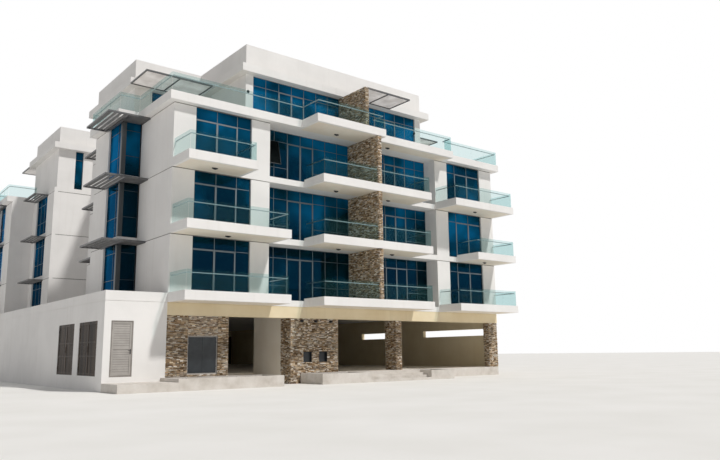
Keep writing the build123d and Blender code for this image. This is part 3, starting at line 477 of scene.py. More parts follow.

# %% [markdown]
# ## Paint on metal
# The canopies and doors are steel or aluminium under satin paint. Paint has an orange-peel bump and
# dust that gathers in patches. On the upright slats of the side doors the rain has drawn the dust out
# into streaks. Orange peel is a few millimetres wide and is drawn at 8 mm. The grey strips in the gaps
# of the louvred door and at the back of the grooves are painted shade, and they share the function.


# %% Satin paints, and the grey of painted shade lines
def satin_paint(name, clean, dusty, patch_mm, upright=1.0, sheen=0.5):
    """Paint on metal: orange peel and patches of dust, which can be drawn out upright."""
    material, tree = start_material(name)
    place = add(tree, "ShaderNodeTexCoord").outputs["Object"]
    drawn_out = add(tree, "ShaderNodeMapping", {"Scale": (1, 1, upright)}, {"Vector": place})
    patches = add(
        tree, "ShaderNodeTexNoise", {"Scale": per_metre(patch_mm), "Detail": 6.0},
        {"Vector": drawn_out},
    )
    coat = add(tree, "ShaderNodeValToRGB", {"stops": [(0.4, clean), (0.7, dusty)]}, {0: patches})
    peel = add(tree, "ShaderNodeTexNoise", {"Scale": per_metre(8)}, {"Vector": place})
    relief = add(tree, "ShaderNodeBump", {"Strength": 0.1, "Distance": 0.001}, {"Height": peel})
    surface = add(
        tree, "ShaderNodeBsdfPrincipled",
        {"Roughness": 0.42, "IOR": 1.5, "Specular IOR Level": sheen},
        {"Base Color": coat, "Normal": relief},
    )
    add(tree, "ShaderNodeOutputMaterial", links={0: surface})
    return material


canopy_paint = satin_paint("grey_paint_on_steel", "#57585a", "#6b6a69", 400)
louvre_paint = satin_paint("warm_grey_paint_on_louvres", "#a39e99", "#aea9a4", 300)
# painted shade: the frame is a darker grey than the leaf, for the shaded lines round it
door_frame_painted_shade = satin_paint("grey_paint_darker_as_painted_shade_on_door_frame", "#8b8580", "#96908a", 300)
slat_paint = satin_paint(
    "brown_paint_on_slats", "#1d1510", "#55473b", 170, upright=0.04, sheen=0.08,
)
panel_paint = satin_paint("charcoal_paint_on_panels", "#23282c", "#33383c", 500)
black_paint = satin_paint("black_paint_on_fittings", "#26262a", "#37373a", 120, sheen=0.25)
# painted shade: the grey of the strips under the louvre blades and at the back of the grooves
grey_painted_shade = satin_paint("grey_painted_shade_in_gaps", "#6f6b66", "#7d7974", 100)
print("paints", canopy_paint.name, louvre_paint.name, slat_paint.name, panel_paint.name)

# %% [markdown]
# ## Opal plastic
# Opal sheet scatters the sun that falls on it, so that its underside glows. About half of the light is
# reflected as by a white surface and half comes through. A mix of a principled shader and a
# translucent one gives both, and a glass shader would not, because nothing sharp is seen through it.

# %% Opal plastic
THROUGH = 0.55
opal_plastic, tree = start_material("opal_polycarbonate")
place = add(tree, "ShaderNodeTexCoord").outputs["Object"]
dust = add(tree, "ShaderNodeTexNoise", {"Scale": per_metre(600), "Detail": 5.0}, {"Vector": place})
milk = add(tree, "ShaderNodeValToRGB", {"stops": [(0.35, "#dddad8"), (0.65, "#efedec")]}, {0: dust})
matt = add(tree, "ShaderNodeBsdfPrincipled", {"Roughness": 0.35, "IOR": 1.58}, {"Base Color": milk})
glow = add(tree, "ShaderNodeBsdfTranslucent", links={"Color": milk})
both = add(tree, "ShaderNodeMixShader", {0: THROUGH}, {1: matt, 2: glow})
add(tree, "ShaderNodeOutputMaterial", links={0: both})
print(opal_plastic.name, "lets", THROUGH, "of the light through")

# %% [markdown]
# ## Finishes of the CAD nodes
# Every CAD node names the stuff it is made of as a slot, and each slot has its finish here. The beams
# and the wall of the open ground storey have the deeper cream, which is partly painted bounce light,
# and the recess has the pale cream of painted bounce light, though their slot is render.

# %% Give the CAD nodes their finish
finish_of_slot = {
    "render": masonry_paint,
    # the slabs of the concrete slot take the cream of painted bounce light
    "concrete": cream_of_painted_bounce,
    "paving": cast_concrete,
    "soil": planting_soil,
    "ledgestone": stone_bed,
    "window_glass": solar_glass,
    "balustrade_glass": toughened_glass,
    "steel_rail": brushed_steel,
    "canopy_steel": canopy_paint,
    "louvre_paint": louvre_paint,
    "door_paint": slat_paint,
    "panel_paint": panel_paint,
}
finish_of_node = {
    # the beams, the ground storey's wall and the recess take cream that is partly painted bounce light
    "ground_beams": beam_cream_and_painted_bounce,
    "side_beam": beam_cream_and_painted_bounce,
    "undercroft_wall": beam_cream_and_painted_bounce,
    "recess_walls": cream_of_painted_bounce,
}
for part in frame["record"]["subparts"]:
    finish = finish_of_node.get(part["node"], finish_of_slot[part["material_slot"]])
    data = frame["nodes"][part["node"]].data
    data.materials.clear()
    data.materials.append(finish)

# %% [markdown]
# ## More finishes on one node
# Some nodes carry several finishes. The service door's frame is painted darker than its leaf, as
# painted shade for the dark lines round the leaf, and its lever handle is black. The utility panel's
# frame is pale, and those in the podium's side are brown like their slats. The ground storey's right
# side is cream under its cream beam, partly painted bounce light. Floors and roofs face up, and so
# their tiles and bare concrete go on the faces that do, by each face's own place and normal.

# %% Finishes by face
HANDLE_SIDE = PODIUM_CORNER + 0.9
BEHIND_FRONT = FRONT + 0.3
UPWARD = 0.9


def finish_faces(node, finish, test):
    """Give another finish to those faces of a CAD node whose middle and normal pass a test."""
    data = frame["nodes"][node].data
    data.materials.append(finish)
    chosen = [face for face in data.polygons if test(face.center, face.normal)]
    for face in chosen:
        face.material_index = len(data.materials) - 1
    print(node, finish.name, len(chosen), "faces")


# painted shade: the service door's frame takes the darker grey
finish_faces("door_frames", door_frame_painted_shade, lambda middle, normal: middle.x < -HALF_WIDTH)
finish_faces("door_frames", slat_paint, lambda middle, normal: middle.y > BEHIND_FRONT)
# the right side's cream is partly painted bounce light, as on its beam
finish_faces("ground_side_walls", beam_cream_and_painted_bounce, lambda middle, normal: middle.x > 0)
finish_faces(
    "service_door", black_paint,
    lambda middle, normal: middle.y < LEAF_FACE - 0.001 and middle.x > HANDLE_SIDE,
)
for node in (
    "balcony_slabs", "core_floors", "wing_floors", "strip_floors", "bay_floors", "bay_roofs",
):
    finish_faces(node, porcelain_tiles, lambda middle, normal: normal.z > UPWARD)
for node in ("core_roof", "side_roofs", "podium_roof", "well_floors"):
    finish_faces(node, cast_concrete, lambda middle, normal: normal.z > UPWARD)

# %% [markdown]
# ## Bars
# Most added pieces are made of straight bars, so one function adds a bar to a mesh in progress.


# %% Add a bar
def add_bar(mesh, x, y, z):
    """Add a rectangular bar between two values on each axis."""
    corners = [mesh.verts.new((x[i], y[j], z[k])) for i in (0, 1) for j in (0, 1) for k in (0, 1)]
    for face in ((0, 1, 3, 2), (4, 6, 7, 5), (0, 4, 5, 1), (2, 3, 7, 6), (0, 2, 6, 4), (1, 5, 7, 3)):
        mesh.faces.new([corners[i] for i in face])


trial = bmesh.new()
add_bar(trial, (0, 1), (0, 1), (0, 1))
print("a bar has", len(trial.verts), "corners and", len(trial.faces), "faces")
trial.free()

# %% [markdown]
# ## Rings and rods
# Round things are rings of points with a skin between them. A bent rod, such as a handle, has a ring at
# each end and at each bend, turned halfway between the two directions, as a mitred joint is.


# %% Join rings, and add a rod
def join_rings(mesh, rings):
    """Skin rings of equally many points, and close both ends."""
    count = len(rings[0])
    for first, second in zip(rings, rings[1:]):
        for index in range(count):
            after = (index + 1) % count
            mesh.faces.new((first[index], first[after], second[after], second[index]))
    mesh.faces.new(rings[0][::-1])
    mesh.faces.new(rings[-1])


def add_rod(mesh, points, radius, flats=10):
    """Add a round rod along a line of points in one plane, with mitred corners."""
    points = [Vector(point) for point in points]
    ways = [(b - a).normalized() for a, b in zip(points, points[1:])]
    normal = next((a.cross(b) for a, b in zip(ways, ways[1:]) if a.cross(b).length > 0.1), None)
    normal = (normal or ways[0].orthogonal()).normalized()
    rings = []
    for index, point in enumerate(points):
        before, after = ways[max(index - 1, 0)], ways[min(index, len(ways) - 1)]
        aside = (before + after).normalized().cross(normal)
        stretch = radius / max(0.3, before.cross(normal).dot(aside))
        ring = []
        for flat in range(flats):
            angle = 2 * math.pi * flat / flats
            offset = aside * (math.cos(angle) * stretch) + normal * (math.sin(angle) * radius)
            ring.append(mesh.verts.new(point + offset))
        rings.append(ring)
    join_rings(mesh, rings)


trial = bmesh.new()
add_rod(trial, [(0, 0, 0), (0, 0, 1)], 0.1)
print("a straight rod has", len(trial.faces), "faces")
trial.free()

# %% [markdown]
# ## From a mesh to a piece
# A mesh in progress becomes a piece: its edges are softened by a bevel, because no real edge is
# perfectly sharp and a bevel catches the light, it gets its finish, and it rides on its body, so that
# it moves with it.


# %% Make a piece
def make_piece(name, mesh, finish, body="block", bevel=0.0):
    """Turn a mesh in progress into a finished piece that rides on a body."""
    bmesh.ops.recalc_face_normals(mesh, faces=mesh.faces)
    data = bpy.data.meshes.new(name)
    mesh.to_mesh(data)
    mesh.free()
    data.materials.append(finish)
    piece = bpy.data.objects.new(name, data)
    bpy.context.scene.collection.objects.link(piece)
    if bevel:
        edge = piece.modifiers.new("softened edges", "BEVEL")
        edge.width = bevel
        edge.segments = 1
        edge.limit_method = "ANGLE"
    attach(piece, body)
    print(name, len(data.polygons), "faces")
    return piece


# %% [markdown]
# ## Places from the CAD part
# One CAD node can hold many separate solids, such as all the panes of a storey. This function finds
# them by joining points that share a face, so that added pieces take their places from the CAD part
# and not from numbers written twice.


# %% Find the solids of a CAD node
def solids_of(node):
    """Lowest and highest corner of each separate solid of a CAD node."""
    data = frame["nodes"][node].data
    points = np.empty(len(data.vertices) * 3)
    data.vertices.foreach_get("co", points)
    points = points.reshape(-1, 3)
    unique, index = np.unique(np.round(points, 4), axis=0, return_inverse=True)
    index = index.reshape(-1)
    owner = list(range(len(unique)))

    def root(i):
        while owner[i] != i:
            owner[i] = owner[owner[i]]
            i = owner[i]
        return i

    for polygon in data.polygons:
        first = root(index[polygon.vertices[0]])
        for vertex in polygon.vertices[1:]:
            owner[root(index[vertex])] = first
    groups = {}
    for i in range(len(unique)):
        groups.setdefault(root(i), []).append(unique[i])
    solids = [(Vector(np.min(g, axis=0)), Vector(np.max(g, axis=0))) for g in groups.values()]
    return sorted(solids, key=lambda s: tuple(round(v, 3) for v in s[0]))


print("panes", len(solids_of("window_glass")), len(solids_of("centre_glass")))

# %% [markdown]
# ## Kinds of window
# Each window wall is a frame of anodised aluminium around the glass, with a transom under its top
# lights. Sliding doors have wider stiles than fixed panes. A window is known by its width alone, so a
# short table gives the bars of each kind. Crossing bars are never equally deep, as on real frames,
# where the uprights run through and the transoms stop at them.

# %% Bars of each kind of window
BAR = 0.032
STILE = 0.05
BAR_DEPTH = 0.06
SASH_DEPTH = 0.09
STEP_BACK = 0.008
CENTRE_START, CENTRE_PITCH = 0.25, 0.8186
TOP_LIGHTS = 0.55
# width of the glass: places of the uprights, transoms under the head, transoms over the sill
# with the bays that they cross, and the bays that slide
WINDOWS = {
    3.0: ([1.14, 2.23], [0.58], [], [0, 1]),
    5.98: (
        [CENTRE_START + CENTRE_PITCH * i for i in range(7)], [TOP_LIGHTS],
        [(0.8, 1, 2), (0.8, 5, 7)], [3, 4],
    ),
    5.78: ([0.8257 * i for i in range(1, 7)], [0.5], [], [2, 3]),
    2.7: ([0.9, 1.8], [0.5], [], [0]),
    0.77: ([], [0.45], [(1.0, 0, 0)], []),
    1.72: ([0.5], [0.45], [(1.0, 0, 1)], []),
    2.8: ([0.93, 1.86], [0.55], [(0.9, 0, 2)], []),
    0.56: ([], [0.6], [], []),
}
print(len(WINDOWS), "kinds of window")

# %% [markdown]
# ## One window
# The table says where a window's bars go, measured from one of its ends. The windows of the block
# mirror each other, so the end farther from the centre lines is the first one for all of them.


# %% Draw the bars of one window
BARS_BEVEL = 0.004


def window_bars(mesh, low, high):
    """Add the frame, uprights, transoms and sashes of one window round its glass."""
    along, through = (0, 1) if high[0] - low[0] > high[1] - low[1] else (1, 0)
    width = high[along] - low[along]
    key = min(WINDOWS, key=lambda w: abs(w - width))
    uprights, under_head, over_sill, sliding = WINDOWS[key]
    from_low = low[along] + high[along] < 0
    middle = (low[through] + high[through]) / 2

    def bar(start, end, bottom, top, depth):
        """One bar, by its distances from the window's outer end."""
        limits = [None, None, (bottom, top)]
        if from_low:
            limits[along] = (low[along] + start, low[along] + end)
        else:
            limits[along] = (high[along] - end, high[along] - start)
        limits[through] = (middle - depth / 2, middle + depth / 2)
        add_bar(mesh, *limits)

    bottom, top = low[2], high[2]
    stops = [0.0] + list(uprights) + [width]
    for place in stops[1:-1]:
        bar(place - BAR / 2, place + BAR / 2, bottom, top, BAR_DEPTH)
    bar(0, BAR, bottom, top, BAR_DEPTH)
    bar(width - BAR, width, bottom, top, BAR_DEPTH)
    thinner = BAR_DEPTH - STEP_BACK
    for drop in [0.0] + under_head:
        bar(BAR, width - BAR, top - drop - BAR, top - drop, thinner)
    bar(BAR, width - BAR, bottom, bottom + BAR, thinner)
    for rise, first, last in over_sill:
        bar(stops[first], stops[last + 1], bottom + rise, bottom + rise + BAR, thinner)
    sash_top = top - under_head[0] - BAR
    for index in sliding:
        start, end = stops[index], stops[index + 1]
        depth = SASH_DEPTH - 2 * STEP_BACK * (index % 2)
        bar(max(start - STILE / 2, 0), start + STILE, bottom, sash_top, depth)
        bar(end - STILE, min(end + STILE / 2, width), bottom, sash_top, depth)
        bar(start + STILE, end - STILE, sash_top - STILE, sash_top, depth - STEP_BACK)
        bar(start + STILE, end - STILE, bottom, bottom + STILE, depth - STEP_BACK)


print("bars", BAR, "m wide, stiles", STILE, "m")

# %% [markdown]
# ## All windows
# The glass solids of the CAD part say where each window is. The bars of all the windows that share a
# node of glass are one piece, and those in the bays, which are dark, are a piece of their own.

# %% Bars of every window
BAYS_BEYOND = HALF_WIDTH + 0.5
for node in ("window_glass", "centre_glass", "top_glass"):
    bars = bmesh.new()
    bay_bars = bmesh.new()
    for low, high in solids_of(node):
        at_bay = max(-low[0], high[0]) > BAYS_BEYOND
        window_bars(bay_bars if at_bay else bars, low, high)
    make_piece(node.replace("glass", "bars"), bars, silver_bar, bevel=BARS_BEVEL)
    if bay_bars.verts:
        make_piece("bay_window_bars", bay_bars, dark_bar, bevel=BARS_BEVEL)
    else:
        bay_bars.free()

# %% [markdown]
# ## Corner posts of the bays
# The posts between the two windows of a bay are clad in folded sheet of the same dark aluminium as its
# bars. Two thin plates on the post's outer faces give that fold.

# %% Cladding of the bays' corner posts
POST = 0.21
CLADDING = 0.008
BAY_FACE = 0.98
BAY_START = 3.95
HEAD = 0.09
posts = bmesh.new()
for level in (1, 2, 3):
    height = (soffit(level) + FLOOR, soffit(level + 1) - HEAD)
    for side in (-1, 1):
        for end in (-1, 1):
            outer = side * (HALF_WIDTH + BAY_FACE)
            corner = end * (-FRONT - BAY_START)
            wide = sorted((outer + side * CLADDING, outer - side * POST))
            thin = sorted((corner, corner + end * CLADDING))
            add_bar(posts, wide, thin, height)
            deep = sorted((corner, corner - end * POST))
            flat = sorted((outer, outer + side * CLADDING))
            add_bar(posts, flat, deep, height)
make_piece("bay_post_cladding", posts, dark_bar, bevel=0.002)

# %% [markdown]
# ## Stone strips
# Split stone is laid dry-looking, in thin courses whose strips differ in length and in how far they
# stand out. A flat wall with a bump would lose that ragged edge, so each strip is a small block with
# its own depth and slightly uneven corners. A seeded random stream lays them the same way each time.

# %% Lay strips on a face
rng = random.Random(41)
COURSES = (0.025, 0.035, 0.045, 0.06)
SHORTEST, LONGEST = 0.06, 0.22
LEAST_DEPTH, MOST_DEPTH = 0.008, 0.036
LEAST_COURSE = LEAST_STRIP = 0.02
JOINT = 0.004
UNEVEN = 0.004


def lay_strips(mesh, origin, along, outward, length, height, holes=()):
    """Cover a face with strips, leaving out holes given as start, end, bottom and top on the face."""
    origin, along, outward = Vector(origin), Vector(along), Vector(outward)
    up = Vector((0, 0, 1))
    level = 0.0
    while level < height - LEAST_COURSE:
        top = level + min(rng.choice(COURSES), height - level)
        stop = -rng.uniform(0, SHORTEST)
        while stop < length:
            start, stop = max(stop, 0.0), stop + rng.uniform(SHORTEST, LONGEST)
            end = min(stop, length)
            for hole_start, hole_end, hole_bottom, hole_top in holes:
                beside = top > hole_bottom and level < hole_top
                if beside and start < hole_end and end > hole_start:
                    if start < hole_start:
                        end, stop = hole_start, hole_end
                    else:
                        start, stop = hole_end, max(stop, hole_end)
                        end = min(stop, length)
            if end - start < LEAST_STRIP:
                continue
            depth = rng.uniform(LEAST_DEPTH, MOST_DEPTH)
            back, front = [], []
            for u, v in ((start, level), (end, level), (end, top), (start, top)):
                inner_u = u + (JOINT if u == start else -JOINT)
                inner_v = v + (JOINT if v == level else -JOINT)
                place = origin + along * inner_u + up * inner_v
                back.append(mesh.verts.new(place))
                bulge = depth + rng.uniform(-UNEVEN, UNEVEN)
                front.append(mesh.verts.new(place + outward * bulge))
            mesh.faces.new(front)
            for i in range(4):
                after = (i + 1) % 4
                mesh.faces.new((back[i], back[after], front[after], front[i]))
        level = top


print("courses of", COURSES, "m")

# %% [markdown]
# ## Sides of a wall
# A wall or a fin is a box of which only some sides show. Naming the sides keeps the hidden ones bare
# and saves thousands of strips.


# %% Clad chosen sides of a box
def clad_box(mesh, low, high, sides, holes=()):
    """Clad chosen sides of a box: -x, +x, -y or +y."""
    wide, deep, tall = high[0] - low[0], high[1] - low[1], high[2] - low[2]
    faces = {
        "-y": ((low[0], low[1], low[2]), (1, 0, 0), (0, -1, 0), wide),
        "+y": ((low[0], high[1], low[2]), (1, 0, 0), (0, 1, 0), wide),
        "-x": ((low[0], low[1], low[2]), (0, 1, 0), (-1, 0, 0), deep),
        "+x": ((high[0], low[1], low[2]), (0, 1, 0), (1, 0, 0), deep),
    }
    for side in sides:
        origin, along, outward, length = faces[side]
        lay_strips(mesh, origin, along, outward, length, tall, holes)


fins = solids_of("party_fins")
print(len(fins), "fins to clad")

# %% [markdown]
# ## Stone on the fins
# The fins between the flats are clad on three sides. At their foot they straddle the balcony's kerb,
# and the strips leave that corner out.

# %% Clad the fins
KERB_THICKNESS = 0.15
KERB_RISE = 0.12
for place_name, sign in (("front", -1), ("rear", 1)):
    strips = bmesh.new()
    for low, high in fins:
        if sign * (low[1] + high[1]) < 0:
            continue
        rise = KERB_RISE if high[2] < soffit(4) + 0.01 else 0.0
        depth = high[1] - low[1]
        at_kerb = (0, KERB_THICKNESS) if sign < 0 else (depth - KERB_THICKNESS, depth)
        clad_box(strips, low, high, ("-x", "+x"), [(*at_kerb, 0, rise)] if rise else ())
        outer_low = (low[0], low[1], low[2] + rise)
        clad_box(strips, outer_low, high, ("-y" if sign < 0 else "+y",))
    make_piece(f"fin_stones_{place_name}", strips, stone_strips)

# %% [markdown]
# ## Stone on the ground storey
# The same strips cover the walls and piers of the ground storey, on the sides that show: the left walls
# in front, the rear walls behind, the free-standing piers all round, and the pier at the right corner
# in front and on its left. Two small square boxes are let into one wall, and the strips stop at their
# edges.

# %% Clad the walls and piers
PIERS_FROM, PIERS_TO = 2.0, 5.0
PANEL_SPAN = (-10.5, -8.0)
BOX_STARTS = (0.76, 1.71)
BOX_SIZE = 0.5
BOX_BOTTOM = 1.03
strips = bmesh.new()
rear_strips = bmesh.new()
for low, high in solids_of("stone_walls"):
    if low[1] > 0:
        clad_box(rear_strips, low, high, ("+y",))
    elif low[0] < PIERS_FROM:
        clad_box(strips, low, high, ("-y",))
    elif high[0] < PIERS_TO:
        clad_box(strips, low, high, ("-x", "+x", "-y", "+y"))
    else:
        clad_box(strips, low, high, ("-x", "-y"))
sign_low, sign_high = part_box("sign_wall")
box_holes = [(s, s + BOX_SIZE, BOX_BOTTOM, BOX_BOTTOM + BOX_SIZE) for s in BOX_STARTS]
clad_box(strips, sign_low, sign_high, ("-y",), box_holes)
clad_box(strips, sign_low, sign_high, ("-x",))
for low, high in solids_of("lintels_and_sills"):
    if PANEL_SPAN[0] < low[0] and high[0] < PANEL_SPAN[1]:
        clad_box(strips, low, high, ("-y",))
make_piece("ground_stones_front", strips, stone_strips)
make_piece("ground_stones_rear", rear_strips, stone_strips)

# %% [markdown]
# ## Trays in the wall
# The two boxes are lined with folded steel trays in dark paint: four sides that stand a little out of
# the wall, so that the stones end against them, and a back.

# %% Dark trays in the two boxes
TRAY = 0.006
BOX_DEPTH = 0.12
TRAY_LIP = 0.012
trays = bmesh.new()
bottom, top = BOX_BOTTOM, BOX_BOTTOM + BOX_SIZE
rear = sign_low[1] + BOX_DEPTH
depth = (sign_low[1] - TRAY_LIP, rear - TRAY)
for start in BOX_STARTS:
    left, right = sign_low[0] + start, sign_low[0] + start + BOX_SIZE
    add_bar(trays, (left, left + TRAY), depth, (bottom, top))
    add_bar(trays, (right - TRAY, right), depth, (bottom, top))
    add_bar(trays, (left + TRAY, right - TRAY), depth, (bottom, bottom + TRAY))
    add_bar(trays, (left + TRAY, right - TRAY), depth, (top - TRAY, top))
    add_bar(trays, (left, right), (rear - TRAY, rear), (bottom, top))
make_piece("sign_wall_trays", trays, panel_paint, bevel=0.001)

# %% [markdown]
# ## Clods on the soil
# Soil that was turned over lies in clods. Each is one rough ball, a twenty-sided solid with its corners
# moved at random and pressed flat, half sunk in the soil. They are points and faces of a single mesh.

# %% Clods in the planters
CLODS_PER_SQUARE_METRE = 60
SMALLEST, LARGEST = 0.01, 0.03
LEAST_SWELL = 0.75
FLATNESS = 0.7
ball = bmesh.new()
bmesh.ops.create_icosphere(ball, subdivisions=1, radius=1.0)
ball_points = [vertex.co.copy() for vertex in ball.verts]
ball_faces = [[vertex.index for vertex in face.verts] for face in ball.faces]
ball.free()
clods = bmesh.new()
for low, high in solids_of("planter_soil"):
    for _ in range(int((high[0] - low[0]) * (high[1] - low[1]) * CLODS_PER_SQUARE_METRE)):
        size = rng.uniform(SMALLEST, LARGEST)
        x = rng.uniform(low[0] + size, high[0] - size)
        y = rng.uniform(low[1] + size, high[1] - size)
        corners = []
        for point in ball_points:
            swell = size * rng.uniform(LEAST_SWELL, 1.0)
            offset = Vector((point.x, point.y, point.z * FLATNESS)) * swell
            corners.append(clods.verts.new(Vector((x, y, high[2])) + offset))
        for face in ball_faces:
            clods.faces.new([corners[index] for index in face])
make_piece("soil_clods", clods, planting_soil)

# %% [markdown]
# ## Painted shadow lines of the louvred door
# Louvre blades overlap, and a narrow gap stays between the lower edge of each blade and the face of
# the next. A thin grey strip there is painted shadow: it draws the shaded lines that one sees on the
# closed door. The strips ride on the leaf and swing with it.

# %% Painted shadow lines under the blades of the service door
BLADES = 10
BLADE_PITCH = 0.1002
RIM = 0.07
MID_RAIL = 1.107
LEAF_START, LEAF_END = 0.358, 1.192
SHADOW_LINE_BACK = LEAF_FACE + 0.026
SHADOW_LINE_THICKNESS = 0.0035
SHADOW_LINE_HEIGHT = 0.010
SHADOW_LINE_DROP = 0.0046
leaf_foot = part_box("service_door")[0][2]
span = (PODIUM_CORNER + LEAF_START + RIM, PODIUM_CORNER + LEAF_END - RIM)
blade_shadow_lines = bmesh.new()
# painted shadow: one thin grey strip under the lower edge of each blade
for foot in (leaf_foot + RIM, leaf_foot + MID_RAIL + RIM / 2):
    for index in range(1, BLADES + 1):
        edge = foot + index * BLADE_PITCH - SHADOW_LINE_DROP
        add_bar(blade_shadow_lines, span, (SHADOW_LINE_BACK - SHADOW_LINE_THICKNESS, SHADOW_LINE_BACK), (edge - SHADOW_LINE_HEIGHT, edge))
make_piece("service_door_painted_shadow_lines", blade_shadow_lines, grey_painted_shade, body="service_door")

# %% [markdown]
# ## Ironwork of the slatted doors
# Each leaf has two flat bands across its slats, on both sides of them, and a slim bent pull handle
# near the edge where the two leaves meet. They ride on the leaves too.

# %% Bands and pull handles of the slatted doors
SIDE_FACE = PODIUM_CORNER + 0.02
LOCK_HEIGHT = 1.08
BAND_OFFSET = 0.3
BAND_HALF = 0.03
BAND_DEPTH = (SIDE_FACE - 0.004, SIDE_FACE + 0.013)
HUNG_EDGE, MEETING_EDGE = 0.06, 0.02
HANDLE_RADIUS = 0.005
HANDLE_REACH = 0.012
HANDLE_ROOT = 0.002
HANDLE_HALF = 0.12
HANDLE_INSET = 0.035
for number in (1, 2):
    for end in ("front", "rear"):
        leaf = f"side_door_{number}_{end}"
        low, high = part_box(leaf)
        middle = low[2] + LOCK_HEIGHT
        if end == "front":
            edges = (low[1] + HUNG_EDGE, high[1] - MEETING_EDGE)
            grip = high[1] - HANDLE_INSET
        else:
            edges = (low[1] + MEETING_EDGE, high[1] - HUNG_EDGE)
            grip = low[1] + HANDLE_INSET
        ironwork = bmesh.new()
        for height in (middle - BAND_OFFSET, middle + BAND_OFFSET):
            add_bar(ironwork, BAND_DEPTH, edges, (height - BAND_HALF, height + BAND_HALF))
        foot, out = SIDE_FACE + HANDLE_ROOT, SIDE_FACE - HANDLE_REACH
        bottom, top = middle - HANDLE_HALF, middle + HANDLE_HALF
        bends = [(foot, grip, bottom), (out, grip, bottom), (out, grip, top), (foot, grip, top)]
        add_rod(ironwork, bends, HANDLE_RADIUS)
        make_piece(f"{leaf}_ironwork", ironwork, slat_paint, body=leaf)

# %% [markdown]
# ## An open top-hung sash
# One pane of the middle flats on the third level stands open for air. It hangs from its top edge and
# leans out at the bottom, so its frame and its pane are turned together about that edge.

# %% The open sash
SASH_LEAN = 13
SASH_HEIGHT = 1.36
SASH_GAP = 0.02
SASH_THICKNESS = 0.045
PANE_FRONT, PANE_BACK = 0.03, 0.018
CENTRE_SETBACK = 0.95
sash_left = across(WING_END) + CENTRE_START + SASH_GAP
sash_right = sash_left + CENTRE_PITCH - 2 * SASH_GAP
sash_top = soffit(4) - TOP_LIGHTS - BAR
sash_bottom = sash_top - SASH_HEIGHT
sash_face = FRONT + CENTRE_SETBACK - SASH_GAP
inner_width = (sash_left + BAR, sash_right - BAR)
hinge_line = Vector((sash_left, sash_face, sash_top))
lean = Matrix.Rotation(math.radians(-SASH_LEAN), 3, "X")
frame_bars = bmesh.new()
for wide, high in (
    ((sash_left, sash_left + BAR), (sash_bottom, sash_top)),
    ((sash_right - BAR, sash_right), (sash_bottom, sash_top)),
    (inner_width, (sash_bottom, sash_bottom + BAR)),
    (inner_width, (sash_top - BAR, sash_top)),
):
    add_bar(frame_bars, wide, (sash_face - SASH_THICKNESS, sash_face), high)
bmesh.ops.rotate(frame_bars, verts=frame_bars.verts, cent=hinge_line, matrix=lean)
make_piece("open_sash_frame", frame_bars, dark_bar, bevel=0.003)
pane = bmesh.new()
pane_depth = (sash_face - PANE_FRONT, sash_face - PANE_BACK)
add_bar(pane, inner_width, pane_depth, (sash_bottom + BAR, sash_top - BAR))
bmesh.ops.rotate(pane, verts=pane.verts, cent=hinge_line, matrix=lean)
make_piece("open_sash_pane", pane, sash_glass_painted_dark)

# %% [markdown]
# ## Lamps
# Small dark bulkhead lamps sit under the balconies, on the walls of the terrace and over the two boxes
# in the stone wall. A bulkhead is an oval dish with a glass in a rim, so it is made as rings of points
# that step in and out, like turning it on a lathe and then squeezing it in one direction.


# %% Bulkhead lamps
def add_lamp(mesh, centre, out, length, width, depth):
    """Add an oval bulkhead lamp standing out from a surface along a unit vector."""
    centre, out = Vector(centre), Vector(out)
    side = Vector((1, 0, 0)) if abs(out.x) < 0.5 else Vector((0, 1, 0))
    other = out.cross(side)
    profile = (
        (1.0, 0.0), (1.0, 0.35), (0.93, 0.5), (0.82, 0.5), (0.78, 0.42), (0.6, 0.75), (0.3, 0.95),
    )
    count = 24
    rings = []
    for radius, rise in profile:
        ring = []
        for index in range(count):
            angle = 2 * math.pi * index / count
            along = side * (math.cos(angle) * radius * length / 2)
            aside = other * (math.sin(angle) * radius * width / 2)
            ring.append(mesh.verts.new(centre + along + aside + out * (rise * depth)))
        rings.append(ring)
    join_rings(mesh, rings)


trial = bmesh.new()
add_lamp(trial, (0, 0, 0), (0, 0, 1), 1, 1, 1)
print("a lamp has", len(trial.faces), "faces")
trial.free()

# %% [markdown]
# ## Places of the lamps
# The front's lamps were measured, and the rear mirrors them. The lamps over the boxes are on the front
# alone. All of them are one piece, as they share their paint and none of them moves.

# %% Lamps on the block
# place and level of each lamp under a balcony, terrace or eave of the front
SOFFIT_LAMPS = (
    (-9.27, -18.34, 3), (-8.46, -18.22, 2), (-1.99, -18.02, 4), (-1.95, -17.90, 3),
    (-1.75, -17.81, 2), (1.88, -17.76, 4), (1.86, -17.74, 3), (2.01, -17.82, 2),
    (8.44, -18.38, 3), (9.18, -18.33, 2),
)
TERRACE_LAMPS, TERRACE_WALL, TERRACE_LAMP_HEIGHT = (-6.21, 5.82), -15.85, 15.2
BOX_LAMPS, BOX_LAMP_FACE, BOX_LAMP_HEIGHT = (-3.88, -3.02, -2.07), FRONT + 0.03, 3.07
# length, width and depth of each kind
OVAL, ROUND, SMALL_OVAL = (0.3, 0.15, 0.08), (0.16, 0.16, 0.08), (0.22, 0.13, 0.1)
lamps = bmesh.new()
for x, y, level in SOFFIT_LAMPS:
    for side in (1, -1):
        add_lamp(lamps, (x, side * y, soffit(level)), (0, 0, -1), *OVAL)
for x in TERRACE_LAMPS:
    for side in (1, -1):
        add_lamp(lamps, (x, side * TERRACE_WALL, TERRACE_LAMP_HEIGHT), (0, -side, 0), *ROUND)
for x in BOX_LAMPS:
    add_lamp(lamps, (x, BOX_LAMP_FACE, BOX_LAMP_HEIGHT), (0, -1, 0), *SMALL_OVAL)
make_piece("bulkhead_lamps", lamps, black_paint)

# %% [markdown]
# ## Terrace canopies
# The terrace canopies are steel frames roofed with opal plastic sheets that glow in the sun. The CAD
# part holds a frame and its sheet in one solid, so both are made again here, each in its own material:
# four bars and a cross bar round the same outline, and sheets with a narrow joint between them.

